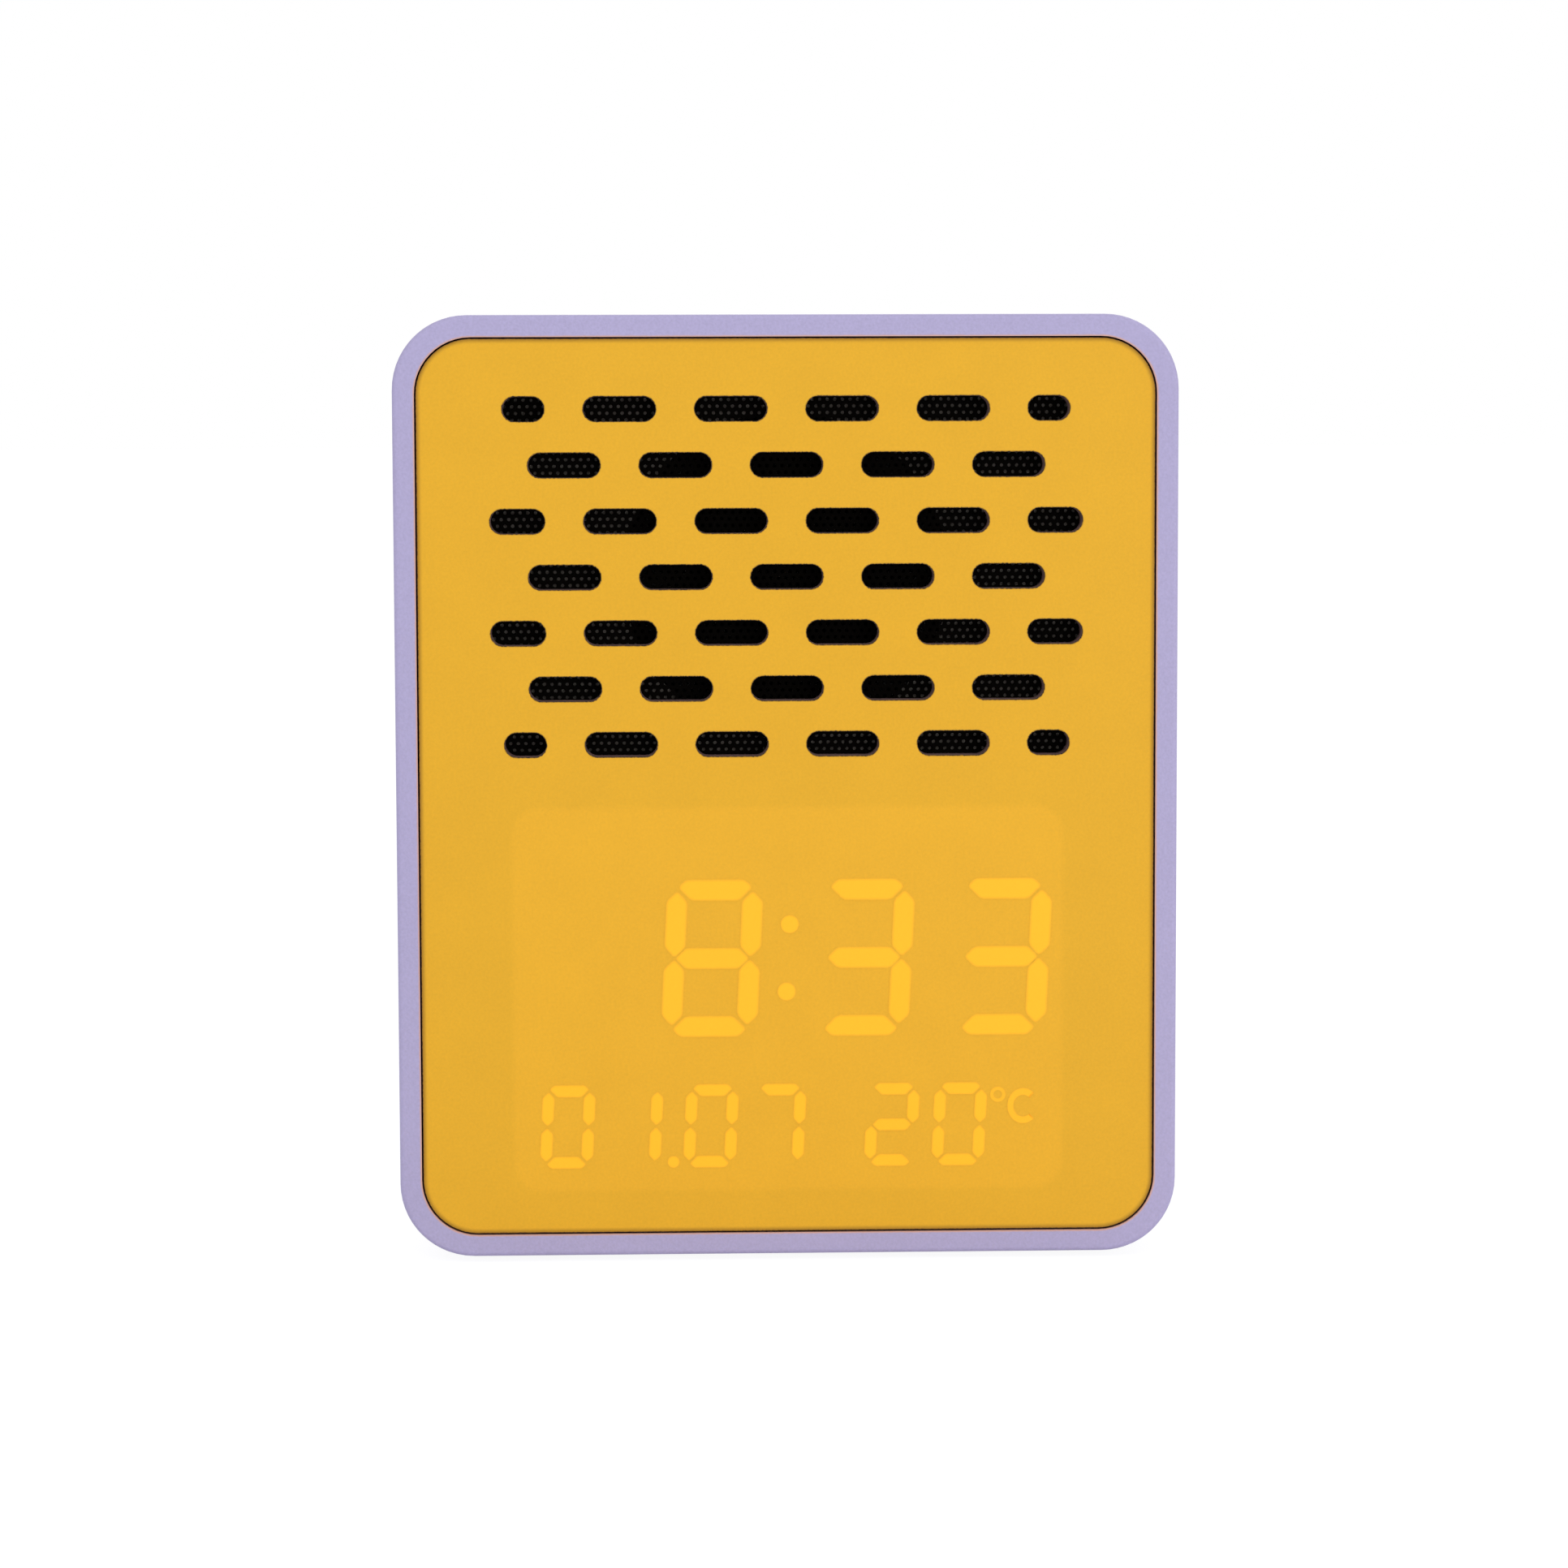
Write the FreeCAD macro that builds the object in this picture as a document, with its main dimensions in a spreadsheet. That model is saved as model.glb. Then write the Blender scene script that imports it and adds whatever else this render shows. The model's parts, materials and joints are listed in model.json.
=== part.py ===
import FreeCAD, Part

import os
import re

import Sketcher

# A talking desk clock: a moulded case with a slotted front that hides a numeric display and a round speaker.
# Millimetres. X runs to the right, Y from the front to the back, Z up.
# The origin is under the middle of the case, on the table.

doc = FreeCAD.newDocument("talking_clock")
sheet = doc.addObject("Spreadsheet::Sheet", "Sizes")
places = doc.addObject("App::VarSet", "Places")
owners = {}
subparts = []

FRONT_PLANE = "XZ_Plane"
SIDE_PLANE = "YZ_Plane"
LEVEL_PLANE = "XY_Plane"

# Counts

LONG_ROW_SLOTS = 5
LONG_ROWS = 3
SHORT_ROW_SLOTS = 4
SHORT_ROWS = 4
BASKET_WINDOWS = 6
SPIDER_WAVES = 2
VENT_SLITS = 7
CAP_LUGS = 3
CHIP_LEGS = 4
CONTROLLER_LEGS = 7
REAR_KEY_NAMES = ["set", "up", "down", "alarm"]
LAST_KEY = len(REAR_KEY_NAMES) - 1

# Turns

FACING_BACK = (FreeCAD.Vector(1, 0, 0), 180)
FACING_DOWN = (FreeCAD.Vector(1, 0, 0), 90)
FACING_UP = (FreeCAD.Vector(1, 0, 0), -90)
CAP_TURN = 45

# Inner end of a bayonet lug, as a share of how far it reaches

LUG_ROOT_SHARE = 0.7

# Places nearer than this are the same place, and a cut smaller than this removes nothing

SAME_PLACE = 1e-4
NO_VOLUME = 1e-6

# Driving sizes: the case

CASE_SIZES = [
    ("case_corner", 9.5, "outer corner seen from the front"),
    ("case_edge", 0.6, "rounding of the front and back outer edges"),
    ("wall", 2.8, "case wall"),
    ("opening_corner", 7.2, "corner of the front and back openings"),
    ("ledge_width", 2.0, "how far the inner ledges stand in from the openings"),
    ("ledge_thickness", 2.0, "thickness of the inner ledges"),
    ("corner_block", 7.4, "side of the square screw blocks in the corners"),
    ("block_round", 2.5, "rounding of a screw block's free edge"),
    ("screw_inset", 4.8, "case screws in from the sides of the openings"),
    ("foot_proud", 0.8, "how far the feet stand below the case"),
    ("foot_recess", 1.0, "depth of the feet's seats"),
    ("foot_radius", 4.0, "rubber foot"),
    ("foot_clearance", 0.2, "gap round a foot in its seat"),
    ("foot_side", 14.0, "middle of a foot in from the case's side"),
    ("foot_front", 15.0, "front feet behind the front edge"),
    ("foot_back", 12.0, "back feet ahead of the back edge"),
    ("overrun", 1.0, "how far a cut runs past the face it breaks through"),
]

# Driving sizes: the slotted front

FRONT_SIZES = [
    ("panel_recess", 0.3, "front face behind the case's front edge"),
    ("panel_gap", 0.2, "gap round the front panel in the case"),
    ("skin_thickness", 0.4, "translucent front skin"),
    ("board_thickness", 3.0, "front board behind the skin"),
    ("slot_length", 9.2, "grille slot"),
    ("slot_height", 3.13, "grille slot"),
    ("slot_pitch", 14.15, "slot to slot along a row"),
    ("row_pitch", 7.117, "row to row"),
    ("side_slot_length", 6.975, "shortened slots, third and fifth rows"),
    ("corner_slot_length", 5.325, "shortened slots, first and last rows"),
    ("top_margin", 4.24, "mesh below the panel's top edge"),
    ("side_margin", 7.5, "mesh in from the panel's sides"),
    ("bridge", 3.46, "mesh down to the display window"),
    ("bottom_margin", 5.4, "display window above the panel's bottom edge"),
    ("window_corner", 3.5, "corner of the display window"),
    ("mesh_side", 1.75, "mesh beyond the outermost slots"),
    ("mesh_overlap", 3.084, "mesh beyond the first and last rows"),
    ("mesh_corner", 4.0, "grille mesh"),
    ("mesh_thickness", 0.5, "grille mesh"),
    ("mesh_clearance", 0.3, "gap round the mesh in its seat"),
    ("mesh_play", 0.1, "gap behind the mesh in its seat"),
    ("baffle_thickness", 2.5, "inner front frame"),
    ("speaker_opening", 20.9, "radius of the opening ahead of the cone"),
    ("opening_bevel", 0.6, "bevel of that opening towards the cone"),
    ("panel_bolt_hole", 1.5, "radius of the baffle's screw holes"),
    ("sink_bevel", 1.2, "countersink of those holes"),
    ("sink_clearance", 0.1, "gap round a countersunk head"),
    ("post_radius", 2.6, "screw posts"),
    ("pilot_floor", 1.2, "front of the baffle left ahead of its blind screw holes"),
    ("rib_height", 2.0, "stiffening ribs on the back of the baffle"),
    ("rib_thickness", 1.4, "stiffening ribs on the back of the baffle"),
]

# Driving sizes: the display

DISPLAY_SIZES = [
    ("reflector_depth", 10.0, "display block, front to back"),
    ("reflector_clearance", 0.3, "gap round the display block in its window"),
    ("lens_depth", 2.0, "cast segment lenses"),
    ("display_side", 1.79, "window's edge to the outer time digits"),
    ("display_top", 9.4, "window's top edge to the time digits"),
    ("display_between", 6.32, "time digits to the small digits"),
    ("display_foot", 2.98, "small digits to the window's bottom edge"),
    ("big_height", 20.1, "time digits"),
    ("big_width", 12.2, "time digits"),
    ("big_stroke", 2.55, "time digits"),
    ("big_pitch", 17.66, "digit to digit in a pair of the time"),
    ("pair_pitch", 19.5, "inner time digits, across the colon"),
    ("colon_radius", 1.1, "colon dots"),
    ("colon_pitch", 8.7, "colon dot to colon dot"),
    ("small_height", 10.7, "date and temperature digits"),
    ("small_width", 6.7, "date and temperature digits"),
    ("small_stroke", 1.45, "date and temperature digits"),
    ("small_pitch", 8.7, "digit to digit in a small pair"),
    ("day_left", 24.06, "middle of the day digits left of the middle"),
    ("month_left", 5.65, "middle of the month digits left of the middle"),
    ("degrees_right", 17.67, "middle of the temperature digits right of the middle"),
    ("date_dot_radius", 0.7, "dot between day and month"),
    ("date_dot_left", 14.85, "dot left of the middle"),
    ("unit_ring_radius", 1.0, "degree ring, outside"),
    ("unit_ring_stroke", 0.45, "degree ring"),
    ("unit_ring_right", 27.0, "degree ring right of the middle"),
    ("unit_ring_rise", 3.8, "degree ring above the middle of the small digits"),
    ("unit_letter_height", 4.5, "unit letter"),
    ("unit_letter_width", 3.3, "unit letter"),
    ("unit_letter_stroke", 0.95, "unit letter"),
    ("unit_letter_bevel", 0.76, "cut corners of the unit letter"),
    ("unit_letter_right", 30.0, "unit letter right of the middle"),
    ("unit_letter_rise", 2.3, "unit letter above the middle of the small digits"),
    ("segment_gap", 0.38, "gap between the tips of two segments in line"),
    ("segment_clip", 0.3, "how much of a segment's tip is cut off"),
    ("lamp_length", 1.6, "light-emitting chip"),
    ("lamp_width", 0.8, "light-emitting chip"),
    ("lamp_height", 0.6, "light-emitting chip"),
    ("circuit_thickness", 1.6, "circuit boards"),
    ("display_board_wider", 15.4, "display circuit board wider than its window"),
    ("display_board_lower", 4.7, "display circuit board lower than its window"),
    ("display_bolt_side", 3.8, "screws in from that board's sides"),
    ("display_bolt_end", 3.4, "screws in from that board's top and bottom"),
]

# Driving sizes: the speaker, as radii and as depths behind its flange

SPEAKER_SIZES = [
    ("gasket_thickness", 1.0, "foam ring ahead of the flange"),
    ("gasket_inner", 21.6, "foam ring"),
    ("flange_radius", 25.0, "basket flange"),
    ("flange_thickness", 1.2, "basket flange"),
    ("rim_radius", 22.7, "seat of the surround"),
    ("rim_step", 0.4, "seat of the surround"),
    ("basket_mouth", 20.8, "opening of the basket behind the surround"),
    ("basket_wall", 0.8, "pressed sheet"),
    ("shelf_radius", 17.5, "shelf that carries the spider"),
    ("shelf_depth", 7.8, "shelf that carries the spider"),
    ("cup_radius", 15.0, "cup of the basket behind the shelf"),
    ("basket_depth", 11.4, "flange to the back of the cup"),
    ("cup_hole", 8.5, "hole in the back of the cup"),
    ("window_length", 9.0, "basket windows, along the rim"),
    ("window_start", 18.4, "basket windows, inner edge"),
    ("window_end", 20.4, "basket windows, outer edge"),
    ("roll_middle", 18.9, "middle of the surround's roll"),
    ("roll_radius", 1.8, "outside of the surround's roll"),
    ("surround_thickness", 0.4, "surround"),
    ("surround_inner", 16.2, "inner edge of the surround"),
    ("cone_edge", 17.2, "outer edge of the cone"),
    ("cone_rim", 1.3, "flat rim of the cone"),
    ("cone_thickness", 0.4, "paper of the cone"),
    ("cone_depth", 5.6, "cone, rim to neck"),
    ("dust_cap_radius", 8.0, "dust cap"),
    ("dust_cap_rise", 2.3, "dust cap"),
    ("dust_cap_thickness", 0.4, "dust cap"),
    ("pole_radius", 6.0, "pole of the yoke"),
    ("former_inner", 6.3, "voice coil former"),
    ("former_outer", 6.6, "voice coil former"),
    ("winding_outer", 6.9, "voice coil winding"),
    ("winding_length", 2.8, "voice coil winding"),
    ("top_plate_hole", 7.3, "magnetic gap, outside"),
    ("top_plate_radius", 14.0, "top plate"),
    ("top_plate_thickness", 2.0, "top plate"),
    ("magnet_inner", 9.0, "ring magnet"),
    ("magnet_radius", 16.0, "ring magnet"),
    ("magnet_thickness", 7.0, "ring magnet"),
    ("yoke_radius", 15.0, "back plate of the yoke"),
    ("yoke_thickness", 2.5, "back plate of the yoke"),
    ("spider_thickness", 0.4, "spider cloth"),
    ("spider_wave", 0.9, "height of the spider's waves"),
    ("spider_clearance", 0.05, "spider round the voice coil former"),
    ("spider_flat", 1.9, "glued rim of the spider"),
    ("terminal_width", 11.0, "terminal strip"),
    ("terminal_end", 22.5, "outer end of the terminal strip"),
    ("terminal_thickness", 1.0, "terminal strip"),
    ("lug_width", 1.6, "solder lugs"),
    ("lug_length", 4.0, "solder lugs"),
    ("lug_pitch", 5.0, "solder lugs"),
    ("clamp_circle", 28.0, "radius of the circle of the speaker's screws"),
]

# Driving sizes: screws, as radii and lengths

SCREW_SIZES = [
    ("case_screw", 1.15, "thread of the case screws"),
    ("case_screw_length", 9.0, "thread of the case screws"),
    ("case_screw_head", 2.6, "head of the case screws"),
    ("case_screw_head_height", 1.2, "head of the case screws"),
    ("sunk_screw_head", 2.5, "countersunk head of the baffle's screws"),
    ("case_pilot", 1.2, "moulded hole for a case screw"),
    ("case_pilot_depth", 12.0, "moulded hole for a case screw"),
    ("board_screw", 0.95, "thread of the board screws"),
    ("board_screw_length", 5.0, "thread of the board screws"),
    ("board_screw_head", 2.0, "head of the board screws"),
    ("board_screw_head_height", 1.3, "head of the board screws"),
    ("board_pilot", 1.0, "moulded hole for a board screw"),
    ("board_hole", 1.3, "hole for a screw in a circuit board"),
    ("clamp_screw", 0.95, "thread of the speaker's screws"),
    ("clamp_screw_length", 3.2, "thread of the speaker's screws"),
    ("clamp_screw_head", 4.0, "washer head of the speaker's screws"),
    ("clamp_screw_head_height", 1.3, "washer head of the speaker's screws"),
    ("head_top_share", 0.7, "flat top of a domed head, as a share of its radius"),
    ("head_side_share", 0.5, "upright side of a domed head, as a share of its height"),
    ("recess_width", 0.8, "cross recess of the screws"),
    ("recess_length", 2.6, "cross recess of the screws"),
    ("recess_depth", 0.8, "cross recess of the screws"),
]

# Driving sizes: keys and switches

KEY_SIZES = [
    ("key_travel", 0.5, "how far a key goes in"),
    ("key_clearance", 0.2, "gap round a key in its opening"),
    ("key_play", 0.1, "gap between a key's flange and the wall it stops on"),
    ("key_flange", 1.0, "thickness of a key's flange"),
    ("key_flange_width", 1.3, "how far a key's flange stands out"),
    ("key_stem_radius", 2.0, "stem that meets the plunger"),
    ("key_round", 0.4, "rounding of a key's outer edge"),
    ("rear_key_radius", 3.9, "keys on the back"),
    ("rear_key_proud", 1.0, "keys on the back, above the cover"),
    ("rear_key_stem", 2.0, "keys on the back, flange to plunger"),
    ("rear_key_pitch", 16.0, "key to key on the back"),
    ("rear_key_rise", 32.0, "row of keys above the middle of the case"),
    ("talk_length", 44.0, "talk key on the top"),
    ("talk_width", 14.0, "talk key on the top"),
    ("talk_set_in", 0.2, "talk key below the case's top"),
    ("talk_ahead", 12.3, "middle of the talk key ahead of the control board"),
    ("talk_bolt_reach", 6.0, "screws beyond the ends of the talk key"),
    ("talk_board_end", 4.0, "circuit board beyond those screws"),
    ("talk_stem", 0.6, "talk key, flange to plunger"),
    ("talk_board_width", 12.0, "circuit board under the talk key"),
    ("switch_side", 6.0, "tact switch housing"),
    ("switch_body", 3.5, "tact switch housing"),
    ("switch_height", 5.0, "tact switch with its plunger"),
    ("plunger_radius", 1.7, "tact switch plunger"),
    ("plunger_clearance", 0.1, "gap round a plunger"),
    ("plunger_root", 1.2, "plunger inside its housing"),
    ("plunger_rest", 0.3, "floor left under a fully pressed plunger"),
    ("slide_travel", 2.0, "slide switches"),
    ("slide_housing_length", 9.0, "slide switch housing"),
    ("slide_housing_width", 4.6, "slide switch housing"),
    ("slide_housing_height", 4.0, "slide switch housing"),
    ("lever_length", 1.8, "slide switch lever"),
    ("lever_width", 1.4, "slide switch lever"),
    ("lever_root", 1.5, "slide switch lever inside its housing"),
    ("lever_clearance", 0.2, "gap round a lever and its knob"),
    ("knob_length", 4.4, "slide switch knob"),
    ("knob_width", 2.6, "slide switch knob"),
    ("knob_proud", 1.0, "slide switch knob, above the cover"),
    ("shutter_length", 10.4, "shutter on a slide switch knob"),
    ("shutter_width", 4.6, "shutter on a slide switch knob"),
    ("shutter_thickness", 0.8, "shutter on a slide switch knob"),
    ("slide_spread", 40.0, "left slide switch to right slide switch"),
    ("slide_rise", 16.0, "slide switches above the middle of the case"),
]

# Driving sizes: the back cover and what its board carries

BACK_SIZES = [
    ("cover_recess", 1.5, "back cover behind the case's back edge"),
    ("cover_thickness", 2.5, "back cover"),
    ("cover_gap", 0.3, "gap round the back cover in the case"),
    ("cover_edge", 0.4, "bevel of the back cover's outer edge"),
    ("cover_hole", 1.5, "screw holes of the back cover"),
    ("cover_bore", 3.0, "counterbores of the back cover"),
    ("cover_bore_depth", 1.3, "counterbores of the back cover"),
    ("vent_length", 11.0, "vent slits"),
    ("vent_height", 1.8, "vent slits"),
    ("vent_pitch", 3.6, "vent slits"),
    ("vent_drop", 34.0, "lowest vent slit below the middle of the case"),
    ("vent_left", 26.0, "vent slits from the middle of the case"),
    ("back_room", 16.2, "speaker to the control circuit board"),
    ("control_side", 9.2, "control circuit board in from the opening's sides"),
    ("control_shorter", 23.0, "control circuit board less high than the opening"),
    ("control_bolt_inset", 4.0, "screws in from that board's edges"),
    ("control_drop", 5.0, "middle of the control board below the middle of the case"),
    ("battery_drop", 16.0, "coin cell below the middle of the case"),
    ("cell_radius", 10.0, "coin cell"),
    ("cell_thickness", 3.2, "coin cell"),
    ("cell_step", 1.2, "crimped edge of the coin cell"),
    ("cell_lip", 0.8, "height of that edge"),
    ("cell_clearance", 0.15, "gap round the coin cell"),
    ("holder_width", 25.0, "coin cell holder"),
    ("holder_height", 22.6, "coin cell holder"),
    ("holder_thickness", 5.2, "coin cell holder"),
    ("holder_floor", 1.4, "coin cell holder under the cell"),
    ("holder_notch", 8.0, "finger notch of the coin cell holder"),
    ("cap_radius", 13.0, "battery cap"),
    ("cap_thickness", 1.2, "rim of the battery cap"),
    ("cap_clearance", 0.2, "gap round the battery cap"),
    ("cap_neck", 12.0, "neck of the battery cap"),
    ("lug_reach", 14.0, "bayonet lugs of the battery cap"),
    ("lug_side", 7.0, "bayonet lugs of the battery cap"),
    ("lug_height", 1.0, "bayonet lugs of the battery cap"),
    ("coin_slot_length", 14.0, "coin slot of the battery cap"),
    ("coin_slot_width", 2.0, "coin slot of the battery cap"),
    ("coin_slot_depth", 0.8, "coin slot of the battery cap"),
    ("port_width", 8.94, "power socket shell"),
    ("port_height", 3.26, "power socket shell"),
    ("port_wall", 0.3, "power socket shell"),
    ("port_length", 9.8, "power socket shell"),
    ("port_base", 2.0, "moulded base inside the socket"),
    ("port_clearance", 0.25, "gap round the socket in the cover"),
    ("port_right", 24.0, "power socket from the middle of the case"),
    ("port_drop", 44.0, "power socket below the middle of the case"),
    ("tongue_width", 6.7, "contact tongue of the power socket"),
    ("tongue_height", 0.7, "contact tongue of the power socket"),
    ("tongue_length", 7.4, "contact tongue of the power socket"),
    ("sensor_radius", 2.3, "temperature sensor"),
    ("sensor_flat", 1.2, "flat of the temperature sensor from its middle"),
    ("sensor_height", 4.6, "temperature sensor"),
]

# Driving sizes: parts on the front of the control board and the wires

CIRCUIT_SIZES = [
    ("controller_length", 10.0, "controller chip"),
    ("controller_width", 5.4, "controller chip"),
    ("controller_drop", 10.0, "controller chip below the middle of the board"),
    ("chip_length", 5.2, "voice and amplifier chips"),
    ("chip_width", 4.0, "voice and amplifier chips"),
    ("chip_height", 1.7, "chips"),
    ("chip_spread", 40.0, "voice chip to amplifier chip"),
    ("leg_pitch", 1.27, "chip legs"),
    ("leg_width", 0.45, "chip legs"),
    ("leg_reach", 1.1, "chip legs"),
    ("leg_height", 0.3, "chip legs"),
    ("crystal_length", 10.6, "clock crystal"),
    ("crystal_width", 4.2, "clock crystal"),
    ("crystal_height", 3.4, "clock crystal"),
    ("crystal_drop", 22.0, "clock crystal below the middle of the board"),
    ("capacitor_radius", 3.15, "capacitors"),
    ("capacitor_height", 8.0, "capacitors"),
    ("capacitor_groove", 0.25, "groove round a capacitor"),
    ("groove_width", 0.7, "groove round a capacitor"),
    ("capacitor_foot", 1.3, "capacitor below its groove"),
    ("capacitor_spread", 44.0, "capacitor to capacitor"),
    ("capacitor_drop", 32.0, "capacitors below the middle of the board"),
    ("ribbon_width", 20.0, "display ribbon"),
    ("ribbon_thickness", 0.9, "display ribbon"),
    ("ribbon_bend", 5.0, "bends of the display ribbon"),
    ("ribbon_top", 12.0, "ribbon on the display board, below the middle of the case"),
    ("ribbon_fall", 26.0, "how much lower the ribbon meets the control board"),
    ("lead_radius", 0.6, "speaker and talk key leads"),
    ("lead_bend", 4.0, "bends of the leads"),
    ("lead_fall", 14.0, "how much lower the speaker leads meet the control board"),
    ("talk_lead_pitch", 3.0, "talk key leads"),
    ("talk_lead_fall", 12.0, "how much lower the talk key leads meet the control board"),
]

# Places that follow from the sizes

PLACES = [
    ("side_slot_start", f"{(SHORT_ROW_SLOTS + 1) / 2} * slot_pitch - slot_length / 2"),
    ("side_slot_end", "side_slot_start + side_slot_length"),
    ("corner_slot_end", "side_slot_start + corner_slot_length"),
    ("mesh_width", "2 * (side_slot_end + mesh_side)"),
    ("mesh_height", f"{LONG_ROWS + SHORT_ROWS - 1} * row_pitch + slot_height + 2 * mesh_overlap"),
    ("window_width", "pair_pitch + 2 * big_pitch + big_width + 2 * display_side"),
    ("window_height", "display_top + big_height + display_between + small_height + display_foot"),
    ("panel_width", "mesh_width + 2 * side_margin"),
    ("panel_height", "top_margin + mesh_height + bridge + window_height + bottom_margin"),
    ("panel_corner", "opening_corner - panel_gap"),
    ("grille_rise", "panel_height / 2 - top_margin - mesh_height / 2"),
    ("window_drop", "panel_height / 2 - bottom_margin - window_height / 2"),
    ("big_rise", "(window_height - big_height) / 2 - display_top"),
    ("small_drop", "(window_height - small_height) / 2 - display_foot"),
    ("opening_width", "panel_width + 2 * panel_gap"),
    ("opening_height", "panel_height + 2 * panel_gap"),
    ("case_width", "opening_width + 2 * wall"),
    ("case_height", "opening_height + 2 * wall"),
    ("front_bay", "panel_recess + skin_thickness + board_thickness + baffle_thickness"),
    ("back_bay", "cover_recess + cover_thickness"),
    ("speaker_depth", "basket_depth + top_plate_thickness + magnet_thickness + yoke_thickness"),
    ("cover_post", "key_play + key_flange + rear_key_stem + switch_height"),
    ("front_half", "front_bay + gasket_thickness + speaker_depth"),
    ("case_depth", "front_half + back_room + circuit_thickness + cover_post + back_bay"),
    ("middle_z", "foot_proud + case_height / 2"),
    ("top_z", "foot_proud + case_height"),
    ("front_y", "-case_depth / 2"),
    ("skin_y", "front_y + panel_recess"),
    ("board_y", "skin_y + skin_thickness"),
    ("baffle_y", "board_y + board_thickness"),
    ("ledge_y", "baffle_y + baffle_thickness"),
    ("bolts_width", "opening_width - 2 * screw_inset"),
    ("bolts_height", "opening_height - 2 * screw_inset"),
    ("foot_spread", "case_width - 2 * foot_side"),
    ("speaker_z", "middle_z + grille_rise"),
    ("display_z", "middle_z - window_drop"),
    ("display_board_y", "board_y + reflector_depth"),
    ("display_board_width", "window_width + display_board_wider"),
    ("display_board_height", "window_height - display_board_lower"),
    ("display_bolts_x", "display_board_width - 2 * display_bolt_side"),
    ("display_bolts_z", "display_board_height - 2 * display_bolt_end"),
    ("display_post", "display_board_y - ledge_y"),
    ("flange_y", "ledge_y + gasket_thickness"),
    ("clamp_post", "gasket_thickness + flange_thickness"),
    ("clamp_offset", "clamp_circle / sqrt(2)"),
    ("cover_y", "case_depth / 2 - back_bay"),
    ("control_back", "cover_y - cover_post"),
    ("control_y", "control_back - circuit_thickness"),
    ("control_z", "middle_z - control_drop"),
    ("control_width", "opening_width - 2 * control_side"),
    ("control_height", "opening_height - control_shorter"),
    ("control_bolts_x", "control_width - 2 * control_bolt_inset"),
    ("control_bolts_z", "control_height - 2 * control_bolt_inset"),
    ("battery_z", "middle_z - battery_drop"),
    ("talk_y", "control_y - talk_ahead"),
    ("talk_back", "talk_y - front_y"),
    ("talk_ceiling", "top_z - wall"),
    ("talk_post", "key_play + key_flange + talk_stem + switch_height"),
    ("talk_board_z", "talk_ceiling - talk_post"),
    ("talk_bolts", "talk_length + 2 * talk_bolt_reach"),
    ("talk_board_length", "talk_bolts + 2 * talk_board_end"),
    ("cone_neck", "rim_step + cone_depth"),
    ("gap_depth", "basket_depth + top_plate_thickness"),
    ("lug_seat", "cover_thickness - cap_thickness"),
    ("sunk_screw", "case_screw"),
    ("sunk_screw_length", "case_screw_length"),
]


def tied(words):
    """The words of a formula with every size and place named as the document knows it."""
    return re.sub(r"[a-z]\w*", lambda word: owners.get(word[0], word[0]), words)


def amount(words):
    """The present value of a formula in millimetres."""
    def plain(word):
        name = word[0]
        if name not in owners:
            return name
        found = sheet.get(name) if owners[name].startswith("Sizes") else getattr(places, name)
        return f"({float(found):.9f})"
    return FreeCAD.Units.parseQuantity(re.sub(r"[a-z]\w*", plain, words)).Value


def bind(thing, path, words):
    """Ties one property of a document object to the sizes."""
    thing.setExpression(path, tied(words))


def fill_sheet():
    """Writes the driving sizes into the sheet, and the places that follow from them beside it."""
    groups = [CASE_SIZES, FRONT_SIZES, DISPLAY_SIZES, SPEAKER_SIZES, SCREW_SIZES, KEY_SIZES, BACK_SIZES,
              CIRCUIT_SIZES]
    row = 0
    for group in groups:
        for alias, value, meaning in group:
            row += 1
            sheet.set(f"A{row}", meaning)
            sheet.set(f"B{row}", str(value))
            sheet.setAlias(f"B{row}", alias)
            owners[alias] = f"Sizes.{alias}"
    for name, words in PLACES:
        places.addProperty("App::PropertyFloat", name)
        owners[name] = f"Places.{name}"
        bind(places, name, words)
    doc.recompute()


# Bodies, planes and sketches

def new_body(label, x="0", y="0", z="0", turn=None):
    """A sub-part with its own label and place; turn is an axis and an angle in degrees."""
    body = doc.addObject("PartDesign::Body", label)
    body.Label = label
    if turn:
        body.Placement = FreeCAD.Placement(FreeCAD.Vector(), FreeCAD.Rotation(*turn))
    for axis, words in (("x", x), ("y", y), ("z", z)):
        bind(body, f"Placement.Base.{axis}", words)
    subparts.append(body)
    return body


def origin_feature(body, role):
    return next(feature for feature in body.Origin.OriginFeatures if feature.Role == role)


def new_sketch(body, name, level="0", plane=FRONT_PLANE):
    """A sketch at a level: a depth behind the body's origin on the front plane, a height on the others."""
    sketch = body.newObject("Sketcher::SketchObject", name)
    sketch.AttachmentSupport = [(origin_feature(body, plane), "")]
    sketch.MapMode = "FlatFace"
    bind(sketch, "AttachmentOffset.Base.z", f"-({level})" if plane == FRONT_PLANE else level)
    return sketch


def measure(sketch, kind, words, *where):
    """Adds one dimension and ties it to its formula."""
    index = sketch.addConstraint(Sketcher.Constraint(kind, *where, amount(words)))
    bind(sketch, f"Constraints[{index}]", words)


def pin(sketch, geometry, vertex, x, y):
    """Holds a vertex at a place measured from the sketch's origin."""
    for kind, words, axis in (("DistanceX", x, -2), ("DistanceY", y, -1)):
        if words == "0":
            sketch.addConstraint(Sketcher.Constraint("PointOnObject", geometry, vertex, axis))
        else:
            measure(sketch, kind, words, -1, 1, geometry, vertex)


def at(x, y):
    return FreeCAD.Vector(amount(x), amount(y), 0)


def draw_circle(sketch, radius, x="0", y="0"):
    up = FreeCAD.Vector(0, 0, 1)
    circle = sketch.addGeometry(Part.Circle(at(x, y), up, amount(radius)))
    pin(sketch, circle, 3, x, y)
    measure(sketch, "Radius", radius, circle)


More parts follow.
